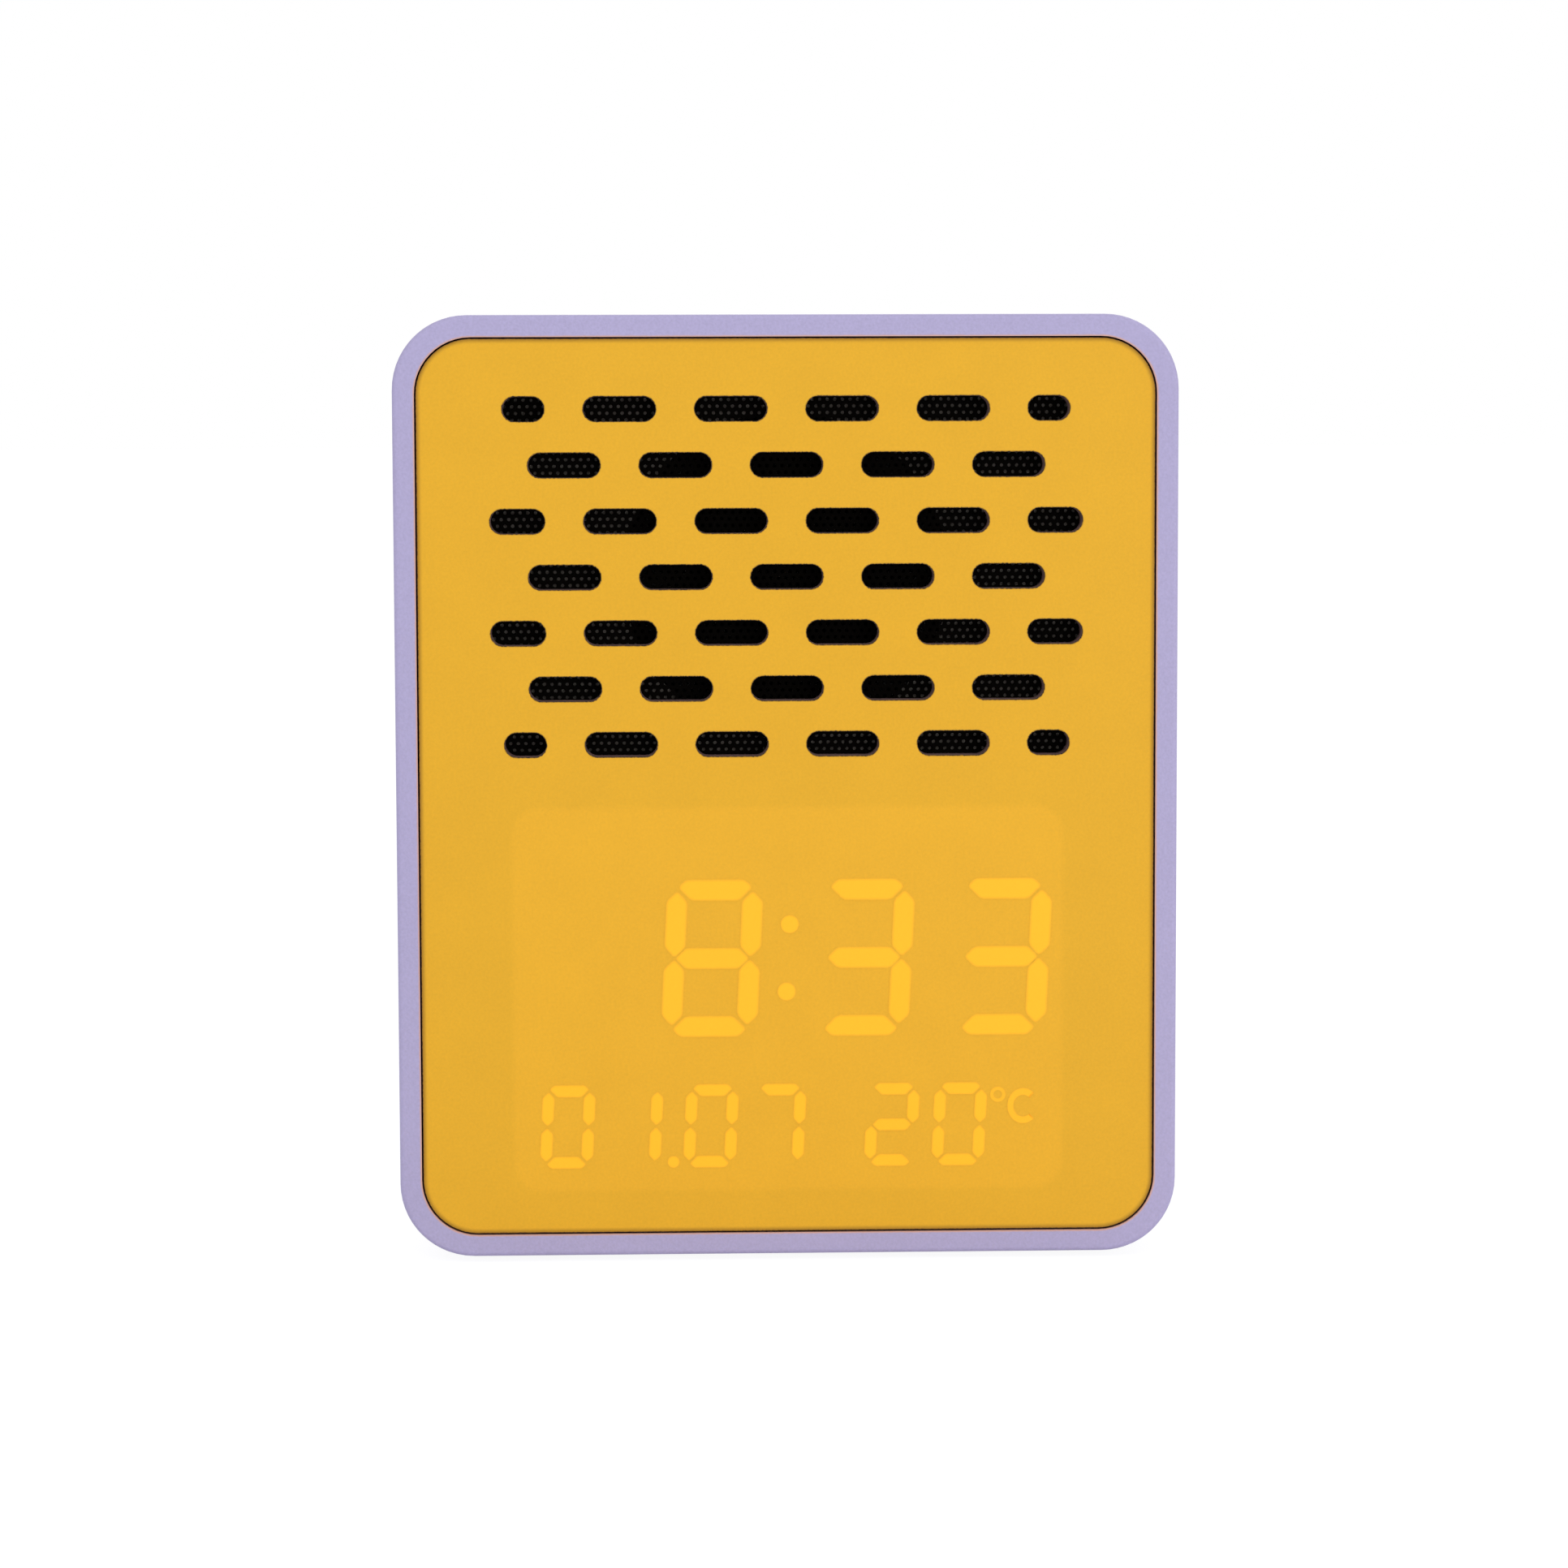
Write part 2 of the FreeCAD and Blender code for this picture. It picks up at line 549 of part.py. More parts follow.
def draw_edge(sketch, previous, corner):
    """A line to the next corner, or an arc when the corner also names a point that it passes through."""
    start, end = at(*previous[:2]), at(*corner[:2])
    if len(corner) == 2:
        line = sketch.addGeometry(Part.LineSegment(start, end))
        begin, finish = 1, 2
    else:
        through = at(*corner[2:])
        line = sketch.addGeometry(Part.ArcOfCircle(start, through, end))
        guide = sketch.addGeometry(Part.Point(through), True)
        pin(sketch, guide, 1, *corner[2:])
        sketch.addConstraint(Sketcher.Constraint("PointOnObject", guide, 1, line))
        begin, finish = (1, 2) if (through - start).cross(end - through).z > 0 else (2, 1)
    pin(sketch, line, finish, *corner[:2])
    return (line, begin), (line, finish)


def draw_outline(sketch, corners):
    """A closed outline of corners, each (x, y) or (x, y, through_x, through_y)."""
    previous, first, last = corners[-1], None, None
    for corner in corners:
        begin, end = draw_edge(sketch, previous, corner)
        if last:
            sketch.addConstraint(Sketcher.Constraint("Coincident", *last, *begin))
        first, last, previous = first or begin, end, corner
    sketch.addConstraint(Sketcher.Constraint("Coincident", *last, *first))


def draw_path(sketch, points):
    """An open path of straight runs and arcs."""
    previous, last = points[0], None
    for point in points[1:]:
        begin, end = draw_edge(sketch, previous, point)
        if last:
            sketch.addConstraint(Sketcher.Constraint("Coincident", *last, *begin))
        else:
            pin(sketch, *begin, *previous)
        last, previous = end, point


def draw_rectangle(sketch, width, height, x="0", y="0"):
    left, right = f"{x} - ({width}) / 2", f"{x} + ({width}) / 2"
    low, high = f"{y} - ({height}) / 2", f"{y} + ({height}) / 2"
    draw_outline(sketch, [(left, low), (right, low), (right, high), (left, high)])


def draw_rounded(sketch, width, height, corner, x="0", y="0"):
    """A rectangle with round corners, as eight corners of which every second ends an arc."""
    nick = f"({corner}) * (1 - 1 / sqrt(2))"
    left, right = f"{x} - ({width}) / 2", f"{x} + ({width}) / 2"
    low, high = f"{y} - ({height}) / 2", f"{y} + ({height}) / 2"
    draw_outline(sketch, [
        (f"{left} + ({corner})", low),
        (f"{right} - ({corner})", low),
        (right, f"{low} + ({corner})", f"{right} - {nick}", f"{low} + {nick}"),
        (right, f"{high} - ({corner})"),
        (f"{right} - ({corner})", high, f"{right} - {nick}", f"{high} - {nick}"),
        (f"{left} + ({corner})", high),
        (left, f"{high} - ({corner})", f"{left} + {nick}", f"{high} - {nick}"),
        (left, f"{low} + ({corner})"),
        (f"{left} + ({corner})", low, f"{left} + {nick}", f"{low} + {nick}"),
    ][1:])


def draw_slot(sketch, length, height, x="0", y="0"):
    """A slot with half-round ends."""
    reach, half = f"(({length}) / 2)", f"(({height}) / 2)"
    draw_outline(sketch, [
        (f"{x} + {reach} - {half}", f"{y} - {half}"),
        (f"{x} + {reach} - {half}", f"{y} + {half}", f"{x} + {reach}", y),
        (f"{x} - {reach} + {half}", f"{y} + {half}"),
        (f"{x} - {reach} + {half}", f"{y} - {half}", f"{x} - {reach}", y),
    ])


# Features

def pad(body, sketch, length, reverse=True):
    """On the front plane a reversed pad grows towards the back; on the level plane a plain one grows up."""
    feature = body.newObject("PartDesign::Pad", f"{sketch.Name}_pad")
    feature.Profile = sketch
    feature.Reversed = reverse
    bind(feature, "Length", length)
    doc.recompute()
    return feature


def pocket(body, sketch, length=None, reverse=False):
    """On the front plane a plain pocket cuts towards the back; with no length it cuts right through."""
    feature = body.newObject("PartDesign::Pocket", f"{sketch.Name}_pocket")
    feature.Profile = sketch
    feature.Reversed = reverse
    if length:
        bind(feature, "Length", length)
    else:
        feature.Type = "ThroughAll"
    doc.recompute()
    return feature


def revolve(body, corners, name="profile"):
    """Turns an outline of radii and depths about the body's Y axis."""
    sketch = new_sketch(body, f"{body.Name}_{name}", plane=LEVEL_PLANE)
    draw_outline(sketch, corners)
    feature = body.newObject("PartDesign::Revolution", f"{sketch.Name}_turned")
    feature.Profile = sketch
    feature.ReferenceAxis = (sketch, ["V_Axis"])
    feature.Angle = 360
    doc.recompute()
    return feature


def repeat(body, feature, role, length, count, second_role=None, second_length="0", second_count=1):
    """Copies a feature along one or two of the body's axes."""
    pattern = body.newObject("PartDesign::LinearPattern", f"{feature.Name}_row")
    pattern.Originals = [feature]
    pattern.Direction = (origin_feature(body, role), [""])
    pattern.Occurrences = count
    bind(pattern, "Length", length)
    if second_role:
        pattern.Direction2 = (origin_feature(body, second_role), [""])
        pattern.Occurrences2 = second_count
        bind(pattern, "Length2", second_length)
    body.Tip = pattern
    doc.recompute()
    return pattern


def turn_copies(body, feature, count):
    """Copies a feature round the body's Y axis."""
    pattern = body.newObject("PartDesign::PolarPattern", f"{feature.Name}_ring")
    pattern.Originals = [feature]
    pattern.Axis = (origin_feature(body, "Y_Axis"), [""])
    pattern.Angle = 360
    pattern.Occurrences = count
    body.Tip = pattern
    doc.recompute()
    return pattern


def edges_where(feature, test):
    return [f"Edge{number}" for number, edge in enumerate(feature.Shape.Edges, 1) if test(edge)]


def round_edges(body, feature, radius, test, kind="PartDesign::Fillet"):
    """Rounds or bevels the edges of the body's last feature that pass a test."""
    chosen = edges_where(feature, test)
    rounded = body.newObject(kind, f"{feature.Name}_edges")
    rounded.Base = (feature, chosen)
    bind(rounded, "Radius" if kind.endswith("Fillet") else "Size", radius)
    doc.recompute()
    return rounded


def lies_at(edge, axis, words):
    """True when an edge lies wholly at one value of an axis of its body."""
    box, value = edge.BoundBox, amount(words)
    low, high = {"x": (box.XMin, box.XMax), "y": (box.YMin, box.YMax), "z": (box.ZMin, box.ZMax)}[axis]
    return abs(low - value) < SAME_PLACE and abs(high - value) < SAME_PLACE


def is_round(edge, radius):
    return edge.Curve.TypeId == "Part::GeomCircle" and abs(edge.Curve.Radius - amount(radius)) < SAME_PLACE


def new_box(body, name, width, height, depth, x="0", z="0", level="0"):
    """A block grown towards the back from a rectangle."""
    sketch = new_sketch(body, f"{body.Name}_{name}", level)
    draw_rectangle(sketch, width, height, x, z)
    return pad(body, sketch, depth)


def four(sketch, draw, spread_x, spread_z):
    """Repeats one drawing at the corners of a rectangle about the origin."""
    for side in ("-", ""):
        for end in ("-", ""):
            draw(f"{side}({spread_x}) / 2", f"{end}({spread_z}) / 2")


# The case and the front

def case_shell():
    """A sleeve open at both ends, with ledges, corner screw blocks, feet seats and the talk key's opening."""
    body = new_body("case_shell", y="front_y", z="middle_z")
    outline = new_sketch(body, "case_outline")
    draw_rounded(outline, "case_width", "case_height", "case_corner")
    block = pad(body, outline, "case_depth")
    round_edges(body, block, "case_edge",
                lambda edge: lies_at(edge, "y", "0") or lies_at(edge, "y", "case_depth"))

    bays = [("front_bay_cut", "0", "front_bay"), ("back_bay_cut", "case_depth - back_bay", "back_bay")]
    for name, level, depth in bays:
        bay = new_sketch(body, name, level)
        draw_rounded(bay, "opening_width", "opening_height", "opening_corner")
        pocket(body, bay, depth)

    between_ledges = "case_depth - front_bay - back_bay - 2 * ledge_thickness"
    cavities = [("throat", "2 * ledge_width", "0", None),
                ("hollow", "0", "front_bay + ledge_thickness", between_ledges)]
    for name, narrower, level, depth in cavities:
        tall = new_sketch(body, f"{name}_tall", level)
        draw_rectangle(tall, "opening_width - 2 * corner_block", f"opening_height - {narrower}")
        pocket(body, tall, depth)
        wide = new_sketch(body, f"{name}_wide", level)
        draw_rectangle(wide, f"opening_width - {narrower}", "opening_height - 2 * corner_block")
        hollow = pocket(body, wide, depth)

    corner_x = amount("opening_width / 2 - corner_block")
    corner_z = amount("opening_height / 2 - corner_block")

    def free_edge(edge):
        middle = edge.BoundBox.Center
        upright = edge.BoundBox.YLength > amount("ledge_thickness") / 2
        off = max(abs(abs(middle.x) - corner_x), abs(abs(middle.z) - corner_z))
        return upright and off < SAME_PLACE

    round_edges(body, hollow, "block_round", free_edge)

    ends = [("front_pilots", "front_bay", False), ("back_pilots", "case_depth - back_bay", True)]
    for name, level, back in ends:
        pilots = new_sketch(body, name, level)
        four(pilots, lambda x, z: draw_circle(pilots, "case_pilot", x, z), "bolts_width", "bolts_height")
        pocket(body, pilots, "case_pilot_depth", reverse=back)

    seats = new_sketch(body, "foot_seats", "-case_height / 2", LEVEL_PLANE)
    for side in ("-", ""):
        for depth in ("foot_front", "case_depth - foot_back"):
            draw_circle(seats, "foot_radius + foot_clearance", f"{side}foot_spread / 2", depth)
    pocket(body, seats, "foot_recess", reverse=True)

    opening = new_sketch(body, "talk_opening", "case_height / 2", LEVEL_PLANE)
    draw_slot(opening, "talk_length + 2 * key_clearance", "talk_width + 2 * key_clearance", y="talk_back")
    pocket(body, opening, "wall + overrun")

    posts = new_sketch(body, "talk_posts", "opening_height / 2", LEVEL_PLANE)
    holes = new_sketch(body, "talk_pilots", "opening_height / 2 - talk_post", LEVEL_PLANE)
    for side in ("-", ""):
        draw_circle(posts, "post_radius", f"{side}talk_bolts / 2", "talk_back")
        draw_circle(holes, "board_pilot", f"{side}talk_bolts / 2", "talk_back")
    pad(body, posts, "talk_post")
    pocket(body, holes, "board_screw_length + overrun", reverse=True)


def cut_slots(body):
    """The staggered grille: long rows of five, short rows of four, and shortened slots at the sides."""
    long_row = new_sketch(body, f"{body.Name}_long_row")
    draw_slot(long_row, "slot_length", "slot_height", "-2 * slot_pitch", "grille_rise - 2 * row_pitch")
    cut = pocket(body, long_row)
    repeat(body, cut, "X_Axis", "4 * slot_pitch", LONG_ROW_SLOTS, "Z_Axis", "4 * row_pitch", LONG_ROWS)

    short_row = new_sketch(body, f"{body.Name}_short_row")
    draw_slot(short_row, "slot_length", "slot_height", "-1.5 * slot_pitch", "grille_rise - 3 * row_pitch")
    cut = pocket(body, short_row)
    repeat(body, cut, "X_Axis", "3 * slot_pitch", SHORT_ROW_SLOTS, "Z_Axis", "6 * row_pitch", SHORT_ROWS)

    for name, end, rows_out in (("side_slots", "side_slot_end", 1), ("corner_slots", "corner_slot_end", 3)):
        sketch = new_sketch(body, f"{body.Name}_{name}")
        draw_slot(sketch, f"{end} - side_slot_start", "slot_height",
                  f"-({end} + side_slot_start) / 2", f"grille_rise - {rows_out} * row_pitch")
        cut = pocket(body, sketch)
        repeat(body, cut, "X_Axis", f"{end} + side_slot_start", 2, "Z_Axis", f"{2 * rows_out} * row_pitch", 2)


def front_skin():
    """The thin coloured skin: whole over the display, slotted over the speaker."""
    body = new_body("front_skin", y="skin_y", z="middle_z")
    outline = new_sketch(body, "skin_outline")
    draw_rounded(outline, "panel_width", "panel_height", "panel_corner")
    pad(body, outline, "skin_thickness")
    cut_slots(body)


def front_board():
    """The board that carries the skin, slotted with it and open behind the display."""
    body = new_body("front_board", y="board_y", z="middle_z")
    outline = new_sketch(body, "board_outline")
    draw_rounded(outline, "panel_width", "panel_height", "panel_corner")
    pad(body, outline, "board_thickness")
    window = new_sketch(body, "board_window")
    draw_rounded(window, "window_width", "window_height", "window_corner", y="-window_drop")
    pocket(body, window)
    cut_slots(body)


def grille_mesh():
    """The black mesh behind the slots, as the sheet that it is cut from."""
    body = new_body("grille_mesh", y="baffle_y", z="speaker_z")
    outline = new_sketch(body, "mesh_outline")
    draw_rounded(outline, "mesh_width", "mesh_height", "mesh_corner")
    pad(body, outline, "mesh_thickness")


def baffle():
    """The inner front frame: mesh seat, speaker opening, display window, screw posts and ribs."""
    body = new_body("baffle", y="baffle_y", z="middle_z")
    outline = new_sketch(body, "baffle_outline")
    draw_rounded(outline, "panel_width", "panel_height", "panel_corner")
    pad(body, outline, "baffle_thickness")

    seat = new_sketch(body, "mesh_seat")
    draw_rounded(seat, "mesh_width + 2 * mesh_clearance", "mesh_height + 2 * mesh_clearance",
                 "mesh_corner + mesh_clearance", y="grille_rise")
    pocket(body, seat, "mesh_thickness + mesh_play")
    window = new_sketch(body, "baffle_window")
    draw_rounded(window, "window_width", "window_height", "window_corner", y="-window_drop")
    pocket(body, window)
    mouth = new_sketch(body, "speaker_mouth")
    draw_circle(mouth, "speaker_opening", y="grille_rise")
    cut = pocket(body, mouth)
    round_edges(body, cut, "opening_bevel",
                lambda edge: lies_at(edge, "y", "baffle_thickness") and is_round(edge, "speaker_opening"),
                "PartDesign::Chamfer")

    through = new_sketch(body, "baffle_holes")
    four(through, lambda x, z: draw_circle(through, "panel_bolt_hole", x, z), "bolts_width", "bolts_height")
    cut = pocket(body, through)
    round_edges(body, cut, "sink_bevel",
                lambda edge: lies_at(edge, "y", "0") and is_round(edge, "panel_bolt_hole"),
                "PartDesign::Chamfer")

    rib = new_sketch(body, "middle_rib", "baffle_thickness")
    draw_rectangle(rib, "opening_width - 2 * ledge_width - 2 * panel_gap", "rib_thickness",
                   y="(grille_rise - flange_radius - window_drop + window_height / 2) / 2")
    pad(body, rib, "rib_height")

    for name, height, spread_x, spread_z, middle in (
            ("display_posts", "display_post", "display_bolts_x", "display_bolts_z", "-window_drop"),
            ("clamp_posts", "clamp_post", "2 * clamp_offset", "2 * clamp_offset", "grille_rise")):
        posts = new_sketch(body, name, "baffle_thickness")
        holes = new_sketch(body, f"{name}_pilots", "pilot_floor")
        for side in ("-", ""):
            for end in ("-", "+"):
                x, z = f"{side}({spread_x}) / 2", f"{middle} {end} ({spread_z}) / 2"
                draw_circle(posts, "post_radius", x, z)
                draw_circle(holes, "board_pilot", x, z)
        pad(body, posts, height)
        pocket(body, holes)


# Screws

def screws(label, kind, spread_x, spread_z, x, y, z, turn=None):
    """Like screws at the corners of a rectangle: heads ahead of the body's origin, threads behind it."""
    body = new_body(label, x, y, z, turn)
    head, thread = f"{kind}_head", kind
    if kind == "sunk_screw":
        top = "0"
        crown = [("0", "0"), (head, "0"), (thread, f"{head} - {thread}")]
        end = f"{head} - {thread} + {kind}_length"
    else:
        top = f"-{head}_height"
        crown = [("0", top), (f"{head} * head_top_share", top), (head, f"{top} * head_side_share"),
                 (head, "0"), (thread, "0")]
        end = f"{kind}_length"
    one = revolve(body, crown + [(thread, end), ("0", end)])

    cross = new_sketch(body, f"{label}_cross", top)
    arm, half = "recess_length / 2", "recess_width / 2"
    draw_outline(cross, [
        (half, f"-{half}"), (arm, f"-{half}"), (arm, half), (half, half), (half, arm), (f"-{half}", arm),
        (f"-{half}", half), (f"-{arm}", half), (f"-{arm}", f"-{half}"), (f"-{half}", f"-{half}"),
        (f"-{half}", f"-{arm}"), (half, f"-{arm}")])
    recess = pocket(body, cross, "recess_depth")
    if spread_z == "0":
        pattern = repeat(body, one, "X_Axis", spread_x, 2)
    else:
        pattern = repeat(body, one, "X_Axis", spread_x, 2, "Z_Axis", spread_z, 2)
    pattern.Originals = [one, recess]
    doc.recompute()


def all_screws():
    """Every group of fasteners, each group on the piece that it holds."""
    screws("baffle_screws", "sunk_screw", "bolts_width", "bolts_height",
           "-bolts_width / 2", "baffle_y + sink_clearance", "middle_z - bolts_height / 2")
    screws("display_screws", "board_screw", "display_bolts_x", "display_bolts_z",
           "-display_bolts_x / 2", "display_board_y + circuit_thickness", "display_z + display_bolts_z / 2",
           FACING_BACK)
    screws("speaker_screws", "clamp_screw", "2 * clamp_offset", "2 * clamp_offset",
           "-clamp_offset", "ledge_y + clamp_post", "speaker_z + clamp_offset", FACING_BACK)
    screws("control_board_screws", "board_screw", "control_bolts_x", "control_bolts_z",
           "-control_bolts_x / 2", "control_y", "control_z - control_bolts_z / 2")
    screws("talk_board_screws", "board_screw", "talk_bolts", "0",
           "-talk_bolts / 2", "talk_y", "talk_board_z - circuit_thickness", FACING_DOWN)
    screws("cover_screws", "case_screw", "bolts_width", "bolts_height",
           "-bolts_width / 2", "cover_y + cover_thickness - cover_bore_depth", "middle_z + bolts_height / 2",
           FACING_BACK)


# The display

def digit_places():
    """Every digit as its middle, its sizes and the segments that glow, a to g from the top clockwise."""
    big_x = [f"{side}(pair_pitch / 2 + {outer} * big_pitch)"
             for side, outer in (("-", 1), ("-", 0), ("", 0), ("", 1))]
    small_x = [f"{middle} {side} small_pitch / 2"
               for middle in ("-day_left", "-month_left", "degrees_right") for side in ("-", "+")]
    big_lit = ["", "abcdefg", "abcdg", "abcdg"]
    small_lit = ["abcdef", "bc", "abcdef", "abc", "abdeg", "abcdef"]
    for x, lit in zip(big_x, big_lit):
        yield amount(x), amount("big_rise"), "big", lit
    for x, lit in zip(small_x, small_lit):
        yield amount(x), -amount("small_drop"), "small", lit


SLANT_SHARE = 0.049
SEGMENT_PLACES = {
    "a": (0, 1, "across"), "b": (1, 0.5, "upright"), "c": (1, -0.5, "upright"), "d": (0, -1, "across"),
    "e": (-1, -0.5, "upright"), "f": (-1, 0.5, "upright"), "g": (0, 0, "across"),
}


def leaning(x, z, middle_x, middle_z):
    """A point of a digit, leaning with the whole figure about the digit's middle."""
    return FreeCAD.Vector(middle_x + x + SLANT_SHARE * z, 0, middle_z + z)


def segment_face(x, z, kind, letter):
    """One segment, six-sided with its two tips cut off, as a flat face at depth zero."""
    half_x = (amount(f"{kind}_width") - amount(f"{kind}_stroke")) / 2
    half_z = (amount(f"{kind}_height") - amount(f"{kind}_stroke")) / 2
    share_x, share_z, way = SEGMENT_PLACES[letter]
    half_stroke = amount(f"{kind}_stroke") / 2
    tip = (half_x if way == "across" else half_z / 2) - amount("segment_gap") / 2
    shoulder = tip - half_stroke
    clip = amount("segment_clip")
    blunt = tip - clip
    points = [(blunt, clip), (shoulder, half_stroke), (-shoulder, half_stroke), (-blunt, clip),
              (-blunt, -clip), (-shoulder, -half_stroke), (shoulder, -half_stroke), (blunt, -clip)]
    if way == "upright":
        points = [(v, u) for u, v in points]
    ring = [leaning(half_x * share_x + u, half_z * share_z + v, x, z) for u, v in points]
    return Part.Face(Part.makePolygon(ring + ring[:1]))


def disc_face(x, z, radius):
    ring = Part.makeCircle(amount(radius), FreeCAD.Vector(x, 0, z), FreeCAD.Vector(0, 1, 0))
    return Part.Face(Part.Wire(ring))


def unit_ring_face(radius):
    return disc_face(amount("unit_ring_right"), amount("unit_ring_rise - small_drop"), radius)


def unit_letter_face():
    """The letter C of the temperature's unit, a square-shouldered bracket, and the middle of its upright."""
    x, z = amount("unit_letter_right"), amount("unit_letter_rise - small_drop")
    wide, tall, stroke = (amount(f"unit_letter_{name}") for name in ("width", "height", "stroke"))
    bevel = amount("unit_letter_bevel")
    outline = [(wide / 2, tall / 2), (bevel - wide / 2, tall / 2), (-wide / 2, tall / 2 - bevel),
               (-wide / 2, bevel - tall / 2), (bevel - wide / 2, -tall / 2), (wide / 2, -tall / 2),
               (wide / 2, stroke - tall / 2), (stroke - wide / 2, stroke - tall / 2),
               (stroke - wide / 2, tall / 2 - stroke), (wide / 2, tall / 2 - stroke)]
    ring = [leaning(u, v, x, z) for u, v in outline]
    return Part.Face(Part.makePolygon(ring + ring[:1])), leaning((stroke - wide) / 2, 0, x, z)


def display_faces():
    """Two lists of flat faces, each with its lamp's place: the segments that glow, then the dark ones."""
    lit, dark = [], []
    for x, z, kind, glowing in digit_places():
        for letter in SEGMENT_PLACES:
            (lit if letter in glowing else dark).append(segment_face(x, z, kind, letter))
    for side in (-0.5, 0.5):
        rise = side * amount("colon_pitch")
        lit.append(disc_face(SLANT_SHARE * rise, amount("big_rise") + rise, "colon_radius"))
    foot = amount("date_dot_radius - small_height / 2 - small_drop")
    lit.append(disc_face(-amount("date_dot_left"), foot, "date_dot_radius"))
    lit.append(unit_ring_face("unit_ring_radius"))
    lit, dark = ([(face, face.CenterOfMass) for face in faces] for faces in (lit, dark))
    return lit + [unit_letter_face()], dark


def shaped_part(label, shape, x="0", y="0", z="0"):
    """A sub-part whose shape is worked out from the sheet."""
    part = doc.addObject("Part::Feature", label)
    part.Label = label
    part.Shape = shape
    for axis, words in (("x", x), ("y", y), ("z", z)):
        bind(part, f"Placement.Base.{axis}", words)
    subparts.append(part)
    return part


def display_block():
    """The display's reflector, its cast lenses and the lamps behind them."""
    lit, dark = display_faces()
    deep = FreeCAD.Vector(0, amount("reflector_depth"), 0)
    lens = FreeCAD.Vector(0, amount("lens_depth"), 0)

    width = amount("window_width - 2 * reflector_clearance")
    height = amount("window_height - 2 * reflector_clearance")
    block = Part.makeBox(width, deep.y, height, FreeCAD.Vector(-width / 2, 0, -height / 2))
    corner = amount("window_corner - reflector_clearance")
    block = block.makeFillet(corner, [edge for edge in block.Edges if edge.BoundBox.YLength > deep.y / 2])
    cells = Part.makeCompound([face.extrude(deep) for face, _ in lit + dark])
    shaped_part("display_reflector", block.cut(cells), y="board_y", z="display_z")
    pit = unit_ring_face("unit_ring_radius - unit_ring_stroke").extrude(lens / 2)
    glowing, unlit = (Part.makeCompound([face.extrude(lens) for face, _ in faces]) for faces in (lit, dark))
    shaped_part("lit_segments", glowing.cut(pit), y="board_y", z="display_z")
    shaped_part("dark_segments", unlit, y="board_y", z="display_z")

    long, wide, tall = amount("lamp_length"), amount("lamp_width"), amount("lamp_height")
    lamps = []
    for face, middle in lit + dark:
        box = face.BoundBox
        across = box.XLength > box.ZLength
        size_x, size_z = (long, wide) if across else (wide, long)
        if min(box.XLength, box.ZLength) < long:
            size_x, size_z = (long, wide / 2) if across else (wide / 2, long)
        if max(box.XLength, box.ZLength) < 2 * long:
            size_x = size_z = wide / 2
        corner = FreeCAD.Vector(middle.x - size_x / 2, deep.y - tall, middle.z - size_z / 2)
        lamps.append(Part.makeBox(size_x, tall, size_z, corner))
    shaped_part("display_lamps", Part.makeCompound(lamps), y="board_y", z="display_z")


def circuit_board(label, width, height, bolts_x, bolts_z, x, y, z):
    """A bare circuit board with a screw hole near each corner."""
    body = new_body(label, x, y, z)
    outline = new_sketch(body, f"{label}_outline")
    draw_rectangle(outline, width, height)
    pad(body, outline, "circuit_thickness")
    holes = new_sketch(body, f"{label}_holes")
    four(holes, lambda u, v: draw_circle(holes, "board_hole", u, v), bolts_x, bolts_z)
    pocket(body, holes)
    return body


# The speaker

def speaker_body(label):
    return new_body(label, y="flange_y", z="speaker_z")


def speaker_frame():
    """The gasket and the pressed basket with its windows."""
    gasket = new_body("speaker_gasket", y="ledge_y", z="speaker_z")
    revolve(gasket, [("gasket_inner", "0"), ("flange_radius", "0"), ("flange_radius", "gasket_thickness"),
                     ("gasket_inner", "gasket_thickness")])
    basket = speaker_body("speaker_basket")
    revolve(basket, [
        ("rim_radius", "0"), ("flange_radius", "0"), ("flange_radius", "flange_thickness"),
        ("basket_mouth + 2 * basket_wall", "flange_thickness"),
        ("shelf_radius + basket_wall", "shelf_depth + basket_wall"),
        ("cup_radius", "shelf_depth + basket_wall"), ("cup_radius", "basket_depth"),
        ("cup_hole", "basket_depth"), ("cup_hole", "basket_depth - basket_wall"),
        ("cup_radius - basket_wall", "basket_depth - basket_wall"),
        ("cup_radius - basket_wall", "shelf_depth"), ("shelf_radius", "shelf_depth"),
        ("basket_mouth", "flange_thickness"), ("basket_mouth", "rim_step"), ("rim_radius", "rim_step")])
    window = new_sketch(basket, "basket_window", "flange_thickness")
    draw_rectangle(window, "window_length", "window_end - window_start", y="(window_start + window_end) / 2")
    turn_copies(basket, pocket(basket, window, "shelf_depth"), BASKET_WINDOWS)


